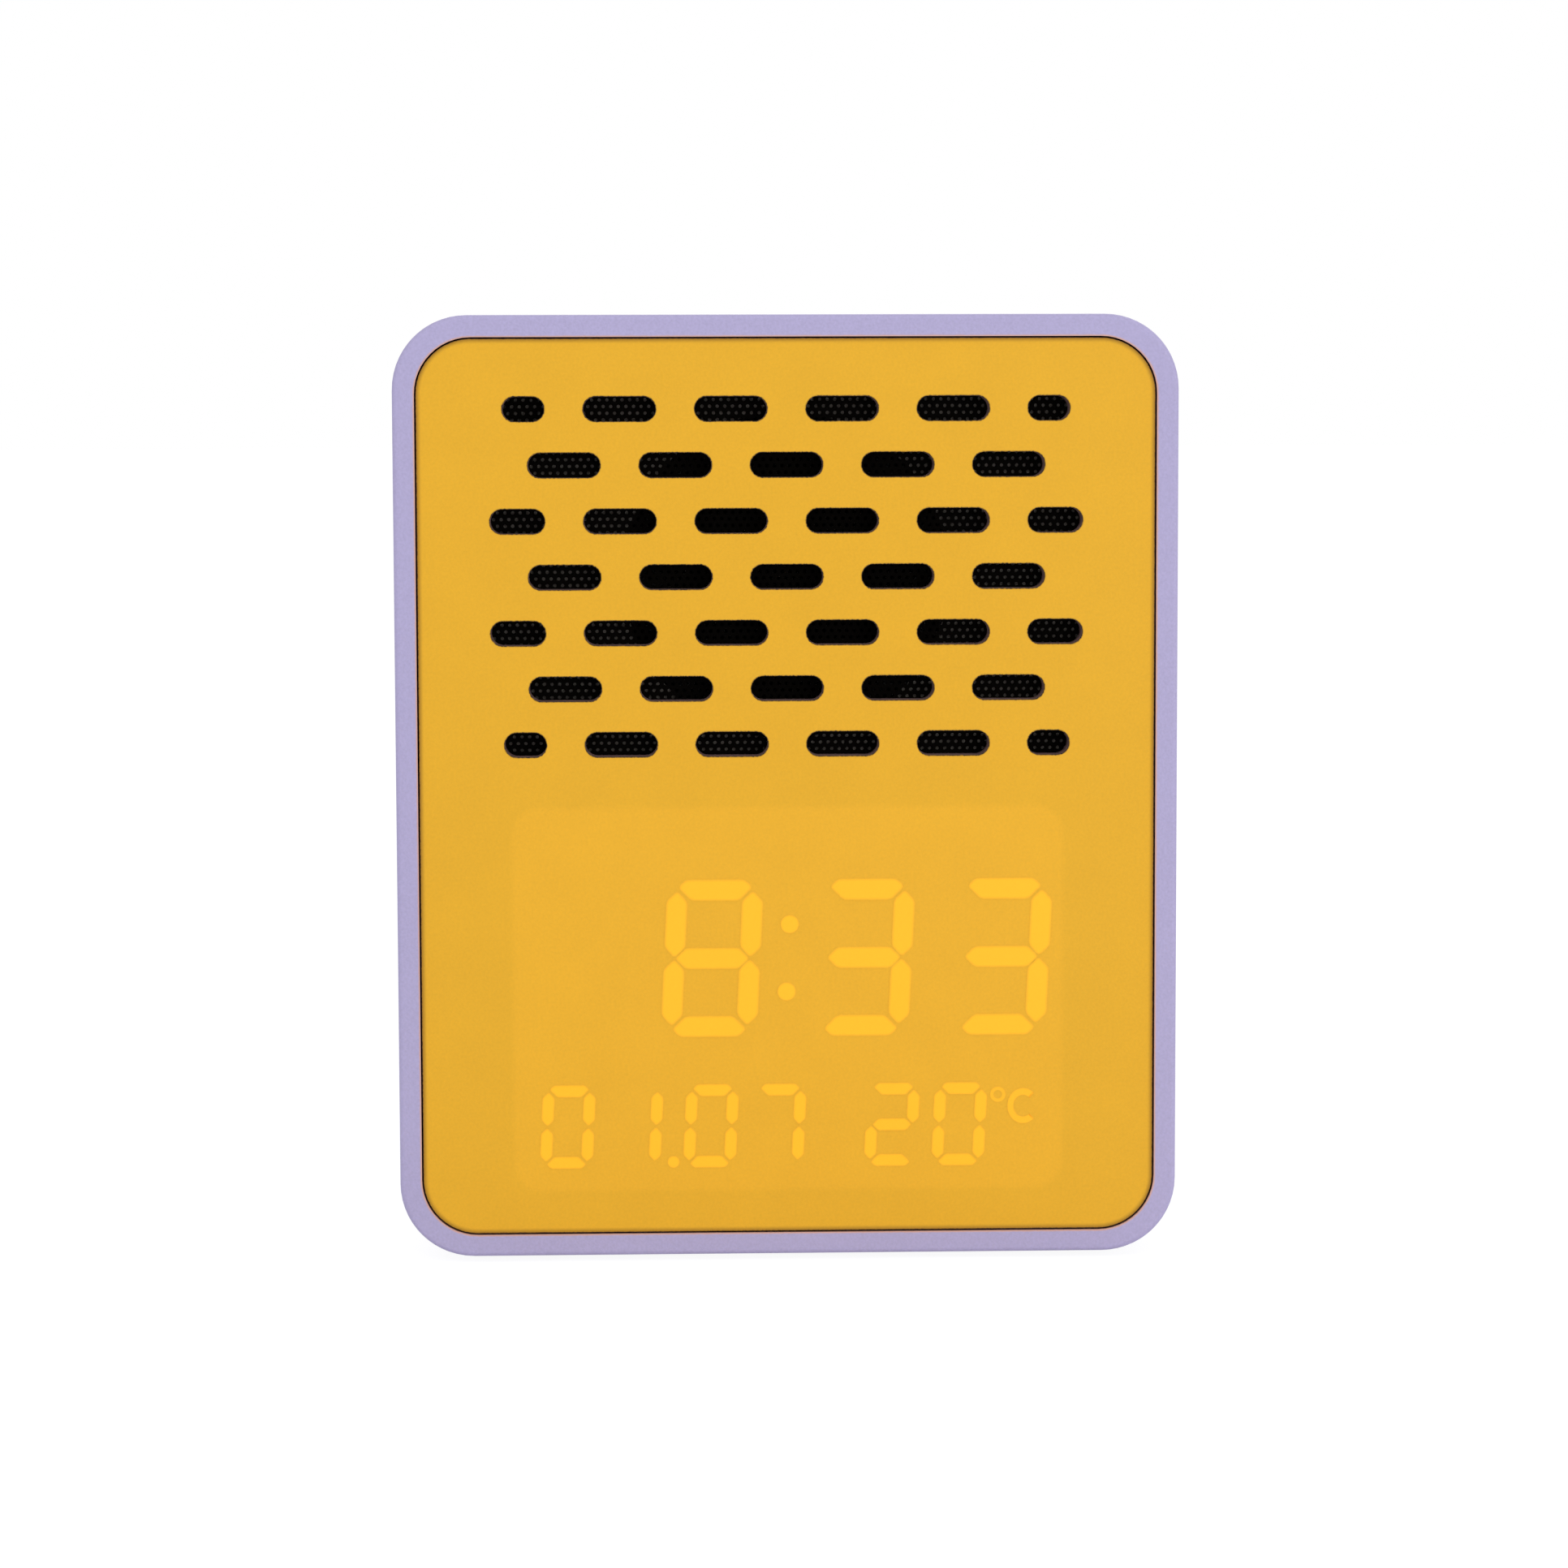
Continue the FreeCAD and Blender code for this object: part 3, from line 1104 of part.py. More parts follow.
def moving_system():
    """The cone with its dust cap and voice coil, and the surround and spider that carry it."""
    surround = speaker_body("speaker_surround")
    outer_flat = "sqrt(roll_radius * roll_radius - surround_thickness * surround_thickness)"
    revolve(surround, [
        ("rim_radius - spider_clearance", "0"), ("rim_radius - spider_clearance", "surround_thickness"),
        ("roll_middle + roll_radius - surround_thickness", "surround_thickness"),
        ("roll_middle - roll_radius + surround_thickness", "surround_thickness",
         "roll_middle", "2 * surround_thickness - roll_radius"),
        ("surround_inner", "surround_thickness"), ("surround_inner", "0"),
        (f"roll_middle - {outer_flat}", "0"),
        (f"roll_middle + {outer_flat}", "0", "roll_middle", "surround_thickness - roll_radius")])

    cone = speaker_body("speaker_cone")
    revolve(cone, [
        ("cone_edge - cone_rim", "rim_step"), ("cone_edge", "rim_step"),
        ("cone_edge", "rim_step + cone_thickness"), ("cone_edge - cone_rim", "rim_step + cone_thickness"),
        ("former_outer", "cone_neck + cone_thickness"), ("former_outer", "cone_neck")])

    mouth = "cone_edge - cone_rim"
    cap_seat = f"rim_step + cone_depth * ({mouth} - dust_cap_radius) / ({mouth} - former_outer)"
    cap = new_body("dust_cap", y=f"flange_y + {cap_seat}", z="speaker_z")
    inner = ("dust_cap_radius - dust_cap_thickness", "dust_cap_rise - dust_cap_thickness")
    revolve(cap, [
        ("0", "-dust_cap_rise"),
        ("dust_cap_radius", "0", "dust_cap_radius / 2", dome_half_way("dust_cap_radius", "dust_cap_rise")),
        (inner[0], "0"), ("0", f"-({inner[1]})", f"({inner[0]}) / 2", dome_half_way(*inner))])

    coil = speaker_body("voice_coil")
    revolve(coil, [
        ("former_inner", "cone_neck"), ("former_outer", "cone_neck"),
        ("former_outer", "gap_depth - winding_length + basket_wall / 2"),
        ("winding_outer", "gap_depth - winding_length + basket_wall / 2"),
        ("winding_outer", "gap_depth + basket_wall / 2"), ("former_inner", "gap_depth + basket_wall / 2")])
    spider()


def dome_half_way(radius, rise):
    """The level of a dome half way from its axis to its edge. Its edge is at level zero, its top ahead."""
    ball = f"((({radius}) * ({radius}) + ({rise}) * ({rise})) / (2 * ({rise})))"
    return f"{ball} - ({rise}) - sqrt({ball} * {ball} - ({radius}) * ({radius}) / 4)"


def spider():
    """The corrugated disc that centres the voice coil, glued to the basket's shelf."""
    body = speaker_body("speaker_spider")
    inner, outer = "former_outer + spider_clearance", "shelf_radius - spider_clearance"
    flat = "shelf_depth - spider_thickness"
    span = f"({outer} - spider_flat - ({inner}) - spider_flat / 2)"
    front, steps = [(inner, flat), (f"{inner} + spider_flat / 2", flat)], 2 * SPIDER_WAVES
    for step in range(1, steps):
        level = f"{flat} - spider_wave" if step % 2 else f"{flat} + spider_wave / 2"
        front.append((f"{inner} + spider_flat / 2 + {span} * {step} / {steps}", level))
    front += [(f"{outer} - spider_flat", flat), (outer, flat)]
    back = [(radius, f"{level} + spider_thickness") for radius, level in reversed(front)]
    revolve(body, front + back)


def motor():
    """The top plate, ring magnet and yoke behind the basket, and the terminal strip under its shelf."""
    plate = speaker_body("top_plate")
    revolve(plate, [("top_plate_hole", "basket_depth"), ("top_plate_radius", "basket_depth"),
                    ("top_plate_radius", "gap_depth"), ("top_plate_hole", "gap_depth")])
    magnet = speaker_body("speaker_magnet")
    revolve(magnet, [("magnet_inner", "gap_depth"), ("magnet_radius", "gap_depth"),
                     ("magnet_radius", "gap_depth + magnet_thickness"),
                     ("magnet_inner", "gap_depth + magnet_thickness")])
    yoke = speaker_body("speaker_yoke")
    revolve(yoke, [
        ("0", "basket_depth"), ("pole_radius", "basket_depth"),
        ("pole_radius", "gap_depth + magnet_thickness"), ("yoke_radius", "gap_depth + magnet_thickness"),
        ("yoke_radius", "gap_depth + magnet_thickness + yoke_thickness"),
        ("0", "gap_depth + magnet_thickness + yoke_thickness")])

    terminals = speaker_body("speaker_terminals")
    root = "(cup_radius + basket_wall / 2)"
    new_box(terminals, "strip", "terminal_width", f"terminal_end - {root}", "terminal_thickness",
            z=f"-(terminal_end + {root}) / 2", level="shelf_depth + basket_wall")
    lug = new_box(terminals, "lug", "lug_width", "lug_width / 2", "lug_length", x="-lug_pitch / 2",
                  z="lug_width - terminal_end", level="shelf_depth + basket_wall + terminal_thickness")
    repeat(terminals, lug, "X_Axis", "lug_pitch", 2)


# Keys and switches

def plunger(label, x, y, z, turn=None):
    """The moving button of a tact switch: its outer end at the body's origin, its root towards the back."""
    body = new_body(label, x, y, z, turn)
    depth = "switch_height - switch_body + plunger_root"
    revolve(body, [("0", "0"), ("plunger_radius", "0"), ("plunger_radius", depth), ("0", depth)])


def tact_switch(label, x, y, z, count, turn=None):
    """Tact switch housings, their open faces at the body's origin, in a row along X."""
    body = new_body(label, x, y, z, turn)
    housing = new_box(body, "housing", "switch_side", "switch_side", "switch_body")
    well = new_sketch(body, f"{label}_well")
    draw_circle(well, "plunger_radius + plunger_clearance")
    cut = pocket(body, well, "plunger_root + key_travel + plunger_rest")
    if count > 1:
        pattern = repeat(body, housing, "X_Axis", f"{count - 1} * rear_key_pitch", count)
        pattern.Originals = [housing, cut]
        doc.recompute()


def talk_key():
    """The long flush key on the top, with its switch, plunger and circuit board under it."""
    body = new_body("talk_button", y="talk_y", z="top_z - talk_set_in")
    face = new_sketch(body, "talk_face", "0", LEVEL_PLANE)
    draw_slot(face, "talk_length", "talk_width")
    cap = pad(body, face, "wall - talk_set_in + key_play")
    round_edges(body, cap, "key_round", lambda edge: lies_at(edge, "z", "0"))
    flange = new_sketch(body, "talk_flange", "talk_set_in - wall - key_play", LEVEL_PLANE)
    draw_slot(flange, "talk_length + 2 * key_flange_width", "talk_width + 2 * key_flange_width")
    pad(body, flange, "key_flange")
    stem = new_sketch(body, "talk_stem_root", "talk_set_in - wall - key_play - key_flange", LEVEL_PLANE)
    draw_circle(stem, "key_stem_radius")
    pad(body, stem, "talk_stem")

    plunger("talk_plunger", "0", "talk_y", "talk_board_z + switch_height", FACING_UP)
    tact_switch("talk_switch", "0", "talk_y", "talk_board_z + switch_body", 1, FACING_UP)
    board = new_body("talk_board", y="talk_y", z="talk_board_z - circuit_thickness")
    outline = new_sketch(board, "talk_board_outline", "0", LEVEL_PLANE)
    draw_rectangle(outline, "talk_board_length", "talk_board_width")
    pad(board, outline, "circuit_thickness", reverse=False)
    holes = new_sketch(board, "talk_board_holes", "circuit_thickness", LEVEL_PLANE)
    for side in ("-", ""):
        draw_circle(holes, "board_hole", f"{side}talk_bolts / 2")
    pocket(board, holes)


def rear_key_x(number):
    return f"({number} - {LAST_KEY} / 2) * rear_key_pitch"


def rear_keys():
    """Four round keys on the back, each with the plunger of its switch."""
    for number, name in enumerate(REAR_KEY_NAMES):
        x, z = rear_key_x(number), "middle_z + rear_key_rise"
        body = new_body(f"{name}_button", x, "cover_y + cover_thickness + rear_key_proud", z, FACING_BACK)
        tall = "rear_key_proud + cover_thickness + key_play"
        revolve(body, [
            ("0", "0"), ("rear_key_radius - key_round", "0"),
            ("rear_key_radius", "key_round", "rear_key_radius - key_round * (1 - 1 / sqrt(2))",
             "key_round * (1 - 1 / sqrt(2))"),
            ("rear_key_radius", tall), ("rear_key_radius + key_flange_width", tall),
            ("rear_key_radius + key_flange_width", f"{tall} + key_flange"),
            ("key_stem_radius", f"{tall} + key_flange"),
            ("key_stem_radius", f"{tall} + key_flange + rear_key_stem"),
            ("0", f"{tall} + key_flange + rear_key_stem")])
        plunger(f"{name}_plunger", x, "control_back + switch_height", z, FACING_BACK)
    tact_switch("rear_switches", rear_key_x(0), "control_back + switch_body", "middle_z + rear_key_rise",
                len(REAR_KEY_NAMES), FACING_BACK)


def slide_switches():
    """Two slide switches on the back: their housings on the board and their knobs through the cover."""
    housings = new_body("slide_switches", "-slide_spread / 2", "control_back", "middle_z + slide_rise")
    box = new_box(housings, "housing", "slide_housing_length", "slide_housing_width", "slide_housing_height")
    well = new_sketch(housings, "slide_well", "slide_housing_height - lever_root - lever_clearance")
    draw_rectangle(well, "lever_length + slide_travel + 2 * lever_clearance",
                   "lever_width + 2 * lever_clearance")
    cut = pocket(housings, well)
    pattern = repeat(housings, box, "X_Axis", "slide_spread", 2)
    pattern.Originals = [box, cut]
    doc.recompute()

    for name, side in (("alarm", "-"), ("volume", "")):
        x = f"{side}slide_spread / 2 - slide_travel / 2"
        body = new_body(f"{name}_switch_knob", x, "control_back + slide_housing_height - lever_root",
                        "middle_z + slide_rise")
        shutter_level = "lever_root + cover_post - slide_housing_height - key_play - shutter_thickness"
        new_box(body, "lever", "lever_length", "lever_width", shutter_level)
        new_box(body, "shutter", "shutter_length", "shutter_width", "shutter_thickness", level=shutter_level)
        top = new_box(body, "knob", "knob_length", "knob_width", "key_play + cover_thickness + knob_proud",
                      level=f"{shutter_level} + shutter_thickness")
        end = f"{shutter_level} + shutter_thickness + key_play + cover_thickness + knob_proud"
        round_edges(body, top, "key_round", lambda edge: lies_at(edge, "y", end), "PartDesign::Chamfer")


# The back

def back_cover():
    """The plate that closes the back, with every opening that its keys, switches, cap and socket need."""
    body = new_body("back_cover", y="cover_y", z="middle_z")
    outline = new_sketch(body, "cover_outline")
    draw_rounded(outline, "opening_width - 2 * cover_gap", "opening_height - 2 * cover_gap",
                 "opening_corner - cover_gap")
    plate = pad(body, outline, "cover_thickness")
    round_edges(body, plate, "cover_edge", lambda edge: lies_at(edge, "y", "cover_thickness"),
                "PartDesign::Chamfer")

    holes = new_sketch(body, "cover_holes")
    four(holes, lambda x, z: draw_circle(holes, "cover_hole", x, z), "bolts_width", "bolts_height")
    pocket(body, holes)
    bores = new_sketch(body, "cover_bores", "cover_thickness - cover_bore_depth")
    four(bores, lambda x, z: draw_circle(bores, "cover_bore", x, z), "bolts_width", "bolts_height")
    pocket(body, bores)

    key = new_sketch(body, "key_hole")
    draw_circle(key, "rear_key_radius + key_clearance", rear_key_x(0), "rear_key_rise")
    repeat(body, pocket(body, key), "X_Axis", f"{LAST_KEY} * rear_key_pitch", len(REAR_KEY_NAMES))
    slide = new_sketch(body, "knob_slot")
    draw_rectangle(slide, "knob_length + slide_travel + 2 * lever_clearance",
                   "knob_width + 2 * lever_clearance", "-slide_spread / 2", "slide_rise")
    repeat(body, pocket(body, slide), "X_Axis", "slide_spread", 2)
    vent = new_sketch(body, "vent_slit")
    draw_slot(vent, "vent_length", "vent_height", "-vent_left", "-vent_drop")
    repeat(body, pocket(body, vent), "Z_Axis", f"{VENT_SLITS - 1} * vent_pitch", VENT_SLITS)
    port = new_sketch(body, "port_opening")
    draw_slot(port, "port_width + 2 * port_clearance", "port_height + 2 * port_clearance",
              "port_right", "-port_drop")
    pocket(body, port)
    battery_opening(body)

    posts = new_sketch(body, "cover_posts")
    pilots = new_sketch(body, "cover_post_pilots", "-cover_post")
    for side in ("-", ""):
        for end in ("-", "+"):
            x, z = f"{side}control_bolts_x / 2", f"-control_drop {end} control_bolts_z / 2"
            draw_circle(posts, "post_radius", x, z)
            draw_circle(pilots, "board_pilot", x, z)
    pad(body, posts, "cover_post", reverse=False)
    pocket(body, pilots, "board_screw_length + overrun")


def battery_opening(body):
    """A recessed round opening with three notches that let the cap's lugs in."""
    seat = new_sketch(body, "cap_seat", "lug_seat")
    draw_circle(seat, "cap_radius + cap_clearance", y="-battery_drop")
    pocket(body, seat)
    hole = new_sketch(body, "cap_hole")
    draw_circle(hole, "cap_neck + cap_clearance", y="-battery_drop")
    pocket(body, hole)
    notches = new_sketch(body, "lug_notches")
    for lug in range(CAP_LUGS):
        angle = 360 * lug / CAP_LUGS + CAP_TURN
        notch_outline(notches, angle, "lug_side + 2 * cap_clearance", "lug_reach + cap_clearance",
                      "-battery_drop")
    pocket(body, notches, "lug_seat")


def notch_outline(sketch, angle, width, reach, middle):
    """A radial rectangle from the middle of the cap outwards; the angle is from the top, to the right."""
    turn = FreeCAD.Rotation(FreeCAD.Vector(0, 0, 1), -angle)
    across, outwards = turn.multVec(FreeCAD.Vector(1, 0, 0)), turn.multVec(FreeCAD.Vector(0, 1, 0))
    corners = []
    for side, reach_share in ((-0.5, LUG_ROOT_SHARE), (0.5, LUG_ROOT_SHARE), (0.5, 1), (-0.5, 1)):
        terms = [(across.x * side, outwards.x * reach_share), (across.y * side, outwards.y * reach_share)]
        x, y = (f"({u:.9f}) * ({width}) + ({v:.9f}) * ({reach})" for u, v in terms)
        corners.append((x, f"{y} + ({middle})"))
    draw_outline(sketch, corners)


def battery_cap():
    """A round cap with a coin slot outside and three bayonet lugs inside, locked at rest."""
    body = new_body("battery_cap", y="cover_y + lug_seat", z="battery_z")
    neck = "lug_seat + cap_clearance + lug_height"
    revolve(body, [("0", f"-({neck})"), ("cap_neck", f"-({neck})"), ("cap_neck", "0"), ("cap_radius", "0"),
                   ("cap_radius", "cap_thickness"), ("0", "cap_thickness")])
    lug = new_sketch(body, "cap_lug", f"-({neck})")
    notch_outline(lug, 0, "lug_side", "lug_reach", "0")
    turn_copies(body, pad(body, lug, "lug_height"), CAP_LUGS)
    slot = new_sketch(body, "coin_slot", "cap_thickness - coin_slot_depth")
    draw_slot(slot, "coin_slot_length", "coin_slot_width")
    pocket(body, slot)


def battery():
    """The coin cell and its holder on the control board."""
    holder = new_body("cell_holder", y="control_back", z="battery_z")
    outline = new_sketch(holder, "holder_outline")
    draw_rounded(outline, "holder_width", "holder_height", "holder_floor")
    pad(holder, outline, "holder_thickness")
    bay = new_sketch(holder, "holder_bay", "holder_floor")
    draw_circle(bay, "cell_radius + cell_clearance")
    pocket(holder, bay)
    notch = new_sketch(holder, "holder_notches", "holder_floor")
    draw_rectangle(notch, "holder_width + overrun", "holder_notch")
    pocket(holder, notch)

    cell = new_body("coin_cell", y="control_back + holder_floor", z="battery_z")
    revolve(cell, [("0", "0"), ("cell_radius - cell_step", "0"), ("cell_radius - cell_step", "cell_lip"),
                   ("cell_radius", "cell_lip"), ("cell_radius", "cell_thickness"), ("0", "cell_thickness")])


def power_socket():
    """The upright power socket: a pressed shell round a moulded base and its contact tongue."""
    shell = new_body("socket_shell", "port_right", "control_back", "middle_z - port_drop")
    outline = new_sketch(shell, "shell_outline")
    draw_slot(outline, "port_width", "port_height")
    pad(shell, outline, "port_length")
    bore = new_sketch(shell, "shell_bore")
    draw_slot(bore, "port_width - 2 * port_wall", "port_height - 2 * port_wall")
    pocket(shell, bore)

    tongue = new_body("socket_tongue", "port_right", "control_back", "middle_z - port_drop")
    base = new_sketch(tongue, "tongue_base")
    draw_slot(base, "port_width - 2 * port_wall", "port_height - 2 * port_wall")
    pad(tongue, base, "port_base")
    new_box(tongue, "blade", "tongue_width", "tongue_height", "tongue_length - port_base", level="port_base")


def temperature_sensor():
    """A half-round sensor that stands on the control board behind the vents."""
    body = new_body("temperature_sensor", "-vent_left", "control_back", "middle_z - vent_drop")
    outline = new_sketch(body, "sensor_outline")
    flat = "sqrt(sensor_radius * sensor_radius - sensor_flat * sensor_flat)"
    draw_outline(outline, [(f"-{flat}", "-sensor_flat"), (flat, "-sensor_flat"),
                           (f"-{flat}", "-sensor_flat", "0", "sensor_radius")][1:])
    pad(body, outline, "sensor_height")


# The control board's front

def chip(label, length, width, legs, x, z):
    """A chip on the front of the control board, with a row of legs on each long side."""
    body = new_body(label, x, "control_y", z)
    case = new_box(body, "case", length, width, "chip_height", level="-chip_height")
    round_edges(body, case, "leg_height", lambda edge: lies_at(edge, "y", "-chip_height"),
                "PartDesign::Chamfer")
    leg = new_box(body, "leg", "leg_width", f"{width} + 2 * leg_reach", "leg_height",
                  x=f"-{legs - 1} * leg_pitch / 2", level="-leg_height")
    repeat(body, leg, "X_Axis", f"{legs - 1} * leg_pitch", legs)


def control_parts():
    """The controller, voice and amplifier chips, the clock crystal and two capacitors."""
    chip("controller_chip", "controller_length", "controller_width", CONTROLLER_LEGS, "0",
         "control_z - controller_drop")
    for label, side in (("voice_chip", "-"), ("amplifier_chip", "")):
        chip(label, "chip_length", "chip_width", CHIP_LEGS, f"{side}chip_spread / 2",
             "control_z - controller_drop")
    crystal = new_body("clock_crystal", "0", "control_y", "control_z - crystal_drop")
    can = new_sketch(crystal, "crystal_can", "-crystal_height")
    draw_slot(can, "crystal_length", "crystal_width")
    pad(crystal, can, "crystal_height")
    capacitors = new_body("capacitors", "-capacitor_spread / 2", "control_y", "control_z - capacitor_drop")
    groove = "capacitor_radius - capacitor_groove"
    one = revolve(capacitors, [
        ("0", "-capacitor_height"), ("capacitor_radius", "-capacitor_height"),
        ("capacitor_radius", "-(capacitor_foot + groove_width)"),
        (groove, "-(capacitor_foot + groove_width / 2)"), ("capacitor_radius", "-capacitor_foot"),
        ("capacitor_radius", "0"), ("0", "0")])
    repeat(capacitors, one, "X_Axis", "capacitor_spread", 2)


# Wires

def sweep(body, section, path):
    feature = body.newObject("PartDesign::AdditivePipe", f"{section.Name}_swept")
    feature.Profile = section
    feature.Spine = (path, [])
    doc.recompute()
    return feature


def step_down(run, fall, bend):
    """The path of a wire that runs back, drops through two even bends and runs back again."""
    nick = f"{bend} * (1 - 1 / sqrt(2))"
    middle = f"({run}) / 2"
    return [
        ("0", "0"), (f"{middle} - {bend}", "0"),
        (middle, f"-{bend}", f"{middle} - {nick}", f"-{nick}"),
        (middle, f"{bend} - {fall}"),
        (f"{middle} + {bend}", f"-{fall}", f"{middle} + {nick}", f"{nick} - {fall}"),
        (run, f"-{fall}")]


def wires():
    """The display's ribbon, the speaker's pair of leads and the talk key's pair of leads."""
    ribbon = new_body("display_ribbon", y="display_board_y + circuit_thickness", z="middle_z - ribbon_top")
    path = new_sketch(ribbon, "ribbon_path", plane=SIDE_PLANE)
    draw_path(path, step_down("control_y - display_board_y - circuit_thickness", "ribbon_fall",
                              "ribbon_bend"))
    section = new_sketch(ribbon, "ribbon_section")
    draw_rectangle(section, "ribbon_width", "ribbon_thickness")
    sweep(ribbon, section, path)

    lug_end = "flange_y + shelf_depth + basket_wall + terminal_thickness + lug_length"
    leads = new_body("speaker_leads", "-lug_pitch / 2", lug_end, "speaker_z + lug_width - terminal_end")
    path = new_sketch(leads, "lead_path", plane=SIDE_PLANE)
    draw_path(path, step_down(f"control_y - ({lug_end})", "lead_fall", "lead_bend"))
    section = new_sketch(leads, "lead_section")
    draw_circle(section, "lead_radius")
    repeat(leads, sweep(leads, section, path), "X_Axis", "lug_pitch", 2)

    start = "talk_board_z - circuit_thickness"
    talk = new_body("talk_leads", "-talk_lead_pitch / 2", "talk_y", start)
    path = new_sketch(talk, "talk_lead_path", plane=SIDE_PLANE)
    nick = "lead_bend * (1 - 1 / sqrt(2))"
    draw_path(path, [("0", "0"), ("0", "lead_bend - talk_lead_fall"),
                     ("lead_bend", "-talk_lead_fall", nick, f"{nick} - talk_lead_fall"),
                     ("control_y - talk_y", "-talk_lead_fall")])
    section = new_sketch(talk, "talk_lead_section", plane=LEVEL_PLANE)
    draw_circle(section, "lead_radius")
    repeat(talk, sweep(talk, section, path), "X_Axis", "talk_lead_pitch", 2)


def rubber_feet():
    """Four rubber discs in their seats under the case."""
    body = new_body("rubber_feet", y="front_y")
    discs = new_sketch(body, "foot_discs", "0", LEVEL_PLANE)
    for side in ("-", ""):
        for depth in ("foot_front", "case_depth - foot_back"):
            draw_circle(discs, "foot_radius", f"{side}foot_spread / 2", depth)
    pad(body, discs, "foot_proud + foot_recess", reverse=False)


def build():
    """Every sub-part, from the case inwards."""
    fill_sheet()
    case_shell()
    front_skin()
    front_board()
    grille_mesh()
    baffle()
    display_block()
    circuit_board("display_board", "display_board_width", "display_board_height",
                  "display_bolts_x", "display_bolts_z", "0", "display_board_y", "display_z")
    speaker_frame()
    moving_system()
    motor()
    talk_key()
    rear_keys()
    slide_switches()
    back_cover()
    battery_cap()
    battery()
    circuit_board("control_board", "control_width", "control_height",
                  "control_bolts_x", "control_bolts_z", "0", "control_y", "control_z")
    power_socket()
    temperature_sensor()
    control_parts()
    wires()
    all_screws()
    rubber_feet()
    doc.recompute()


def check():
    """Stops on a failed feature, a cut that removes nothing or a shape that is not sound."""
    for thing in doc.Objects:
        if {"Invalid", "Error"} & set(thing.State):
            raise RuntimeError(f"{thing.Label} failed: {thing.State} {thing.getStatusString()}")
        if thing.TypeId == "PartDesign::Pocket" and thing.BaseFeature:
            if thing.Shape.Volume > thing.BaseFeature.Shape.Volume - NO_VOLUME:
                raise RuntimeError(f"{thing.Label} cuts nothing")
    for part in subparts:
        if part.Shape.isNull() or not part.Shape.isValid() or not part.Shape.Solids:
            raise RuntimeError(f"{part.Label} has no sound shape")


def write():
    """One file for each sub-part."""
    os.makedirs("parts", exist_ok=True)
    for part in subparts:
        part.Shape.exportStep(f"parts/{part.Label}.step")
    print(f"{len(subparts)} sub-parts, {sum(len(part.Shape.Solids) for part in subparts)} solids")


build()
check()
write()
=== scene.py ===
import json
import math
import bpy
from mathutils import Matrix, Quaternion, Vector


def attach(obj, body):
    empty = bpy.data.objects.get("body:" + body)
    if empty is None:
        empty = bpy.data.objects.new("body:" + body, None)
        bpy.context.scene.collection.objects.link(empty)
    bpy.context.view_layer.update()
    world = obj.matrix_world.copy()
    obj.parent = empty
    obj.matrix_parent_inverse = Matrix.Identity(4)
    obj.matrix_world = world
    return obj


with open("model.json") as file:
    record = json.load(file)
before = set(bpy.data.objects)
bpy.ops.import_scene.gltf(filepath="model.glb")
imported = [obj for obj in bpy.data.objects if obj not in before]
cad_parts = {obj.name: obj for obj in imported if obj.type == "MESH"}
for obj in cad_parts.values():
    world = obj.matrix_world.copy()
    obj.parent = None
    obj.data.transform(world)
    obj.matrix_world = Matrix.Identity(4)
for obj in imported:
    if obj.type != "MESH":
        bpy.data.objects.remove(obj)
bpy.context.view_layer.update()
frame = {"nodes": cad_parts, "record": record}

MM = 0.001

# Places of the clock's front, in millimetres in the clock's frame

PANEL_MIDDLE = 61.1
PANEL_HALF = (47.0, 57.3)
PANEL_CORNER = 7.0
OPENING_HALF = (47.2, 57.5)
OPENING_CORNER = 7.2
SKIN_FRONT = -29.7
BOARD_FRONT = -29.3
BOARD_BACK = -26.3
GRILLE_MIDDLE = 88.16
ROW_PITCH = 7.117
SLOT_PITCH = 14.15
SLOT_HALF = 3.035
SLOT_RADIUS = 1.565
SIDE_SLOT_START = 30.775
SIDE_SLOT_ENDS = (37.75, 36.1)
LAST_ROW = 3
HOLE_PITCH = 0.971
HOLE_ROW = 0.845
HOLE_RADIUS = 0.235
WINDOW_HALF = (35.3, 24.75)
WINDOW_CORNER = 3.5
DISPLAY_MIDDLE = 33.95
CUT_EDGE_LEVELS = (-28.6, -29.2)
GAP_FRONT_LEVELS = (-29.8, -29.4)
GAP_BACK_LEVELS = (-24, -25)
CHIP_LEG_LEVELS = (15.85, 15.95)
CAPACITOR_PITCH = 44.0
CORE_PITCH = 1.27

# Colours

VIOLET = (0.418, 0.377, 0.598)
AMBER = (0.785, 0.415, 0.016)
AMBER_OVER_DISPLAY = (0.832, 0.435, 0.018)
AMBER_LIT = (1.0, 0.52, 0.008)
# Brown of burnt cut edges, also painted as shade along the front panel's outline and in the gap round it.
BURN_AND_SHADE_BROWN = (0.075, 0.022, 0.004)
CHAR_BLACK = (0.006, 0.003, 0.001)
EDGE_PINK = (0.62, 0.36, 0.30)
PALE_BOARD = (0.40, 0.25, 0.11)
BURNT_BOARD = (0.21, 0.125, 0.12)
BOARD_GREEN = (0.012, 0.12, 0.042)
TRACK_GREEN = (0.03, 0.22, 0.075)
PAD_GOLD = (0.62, 0.50, 0.28)
TABLE_WHITE = (0.87, 0.88, 0.92)


# Shader values and finishes


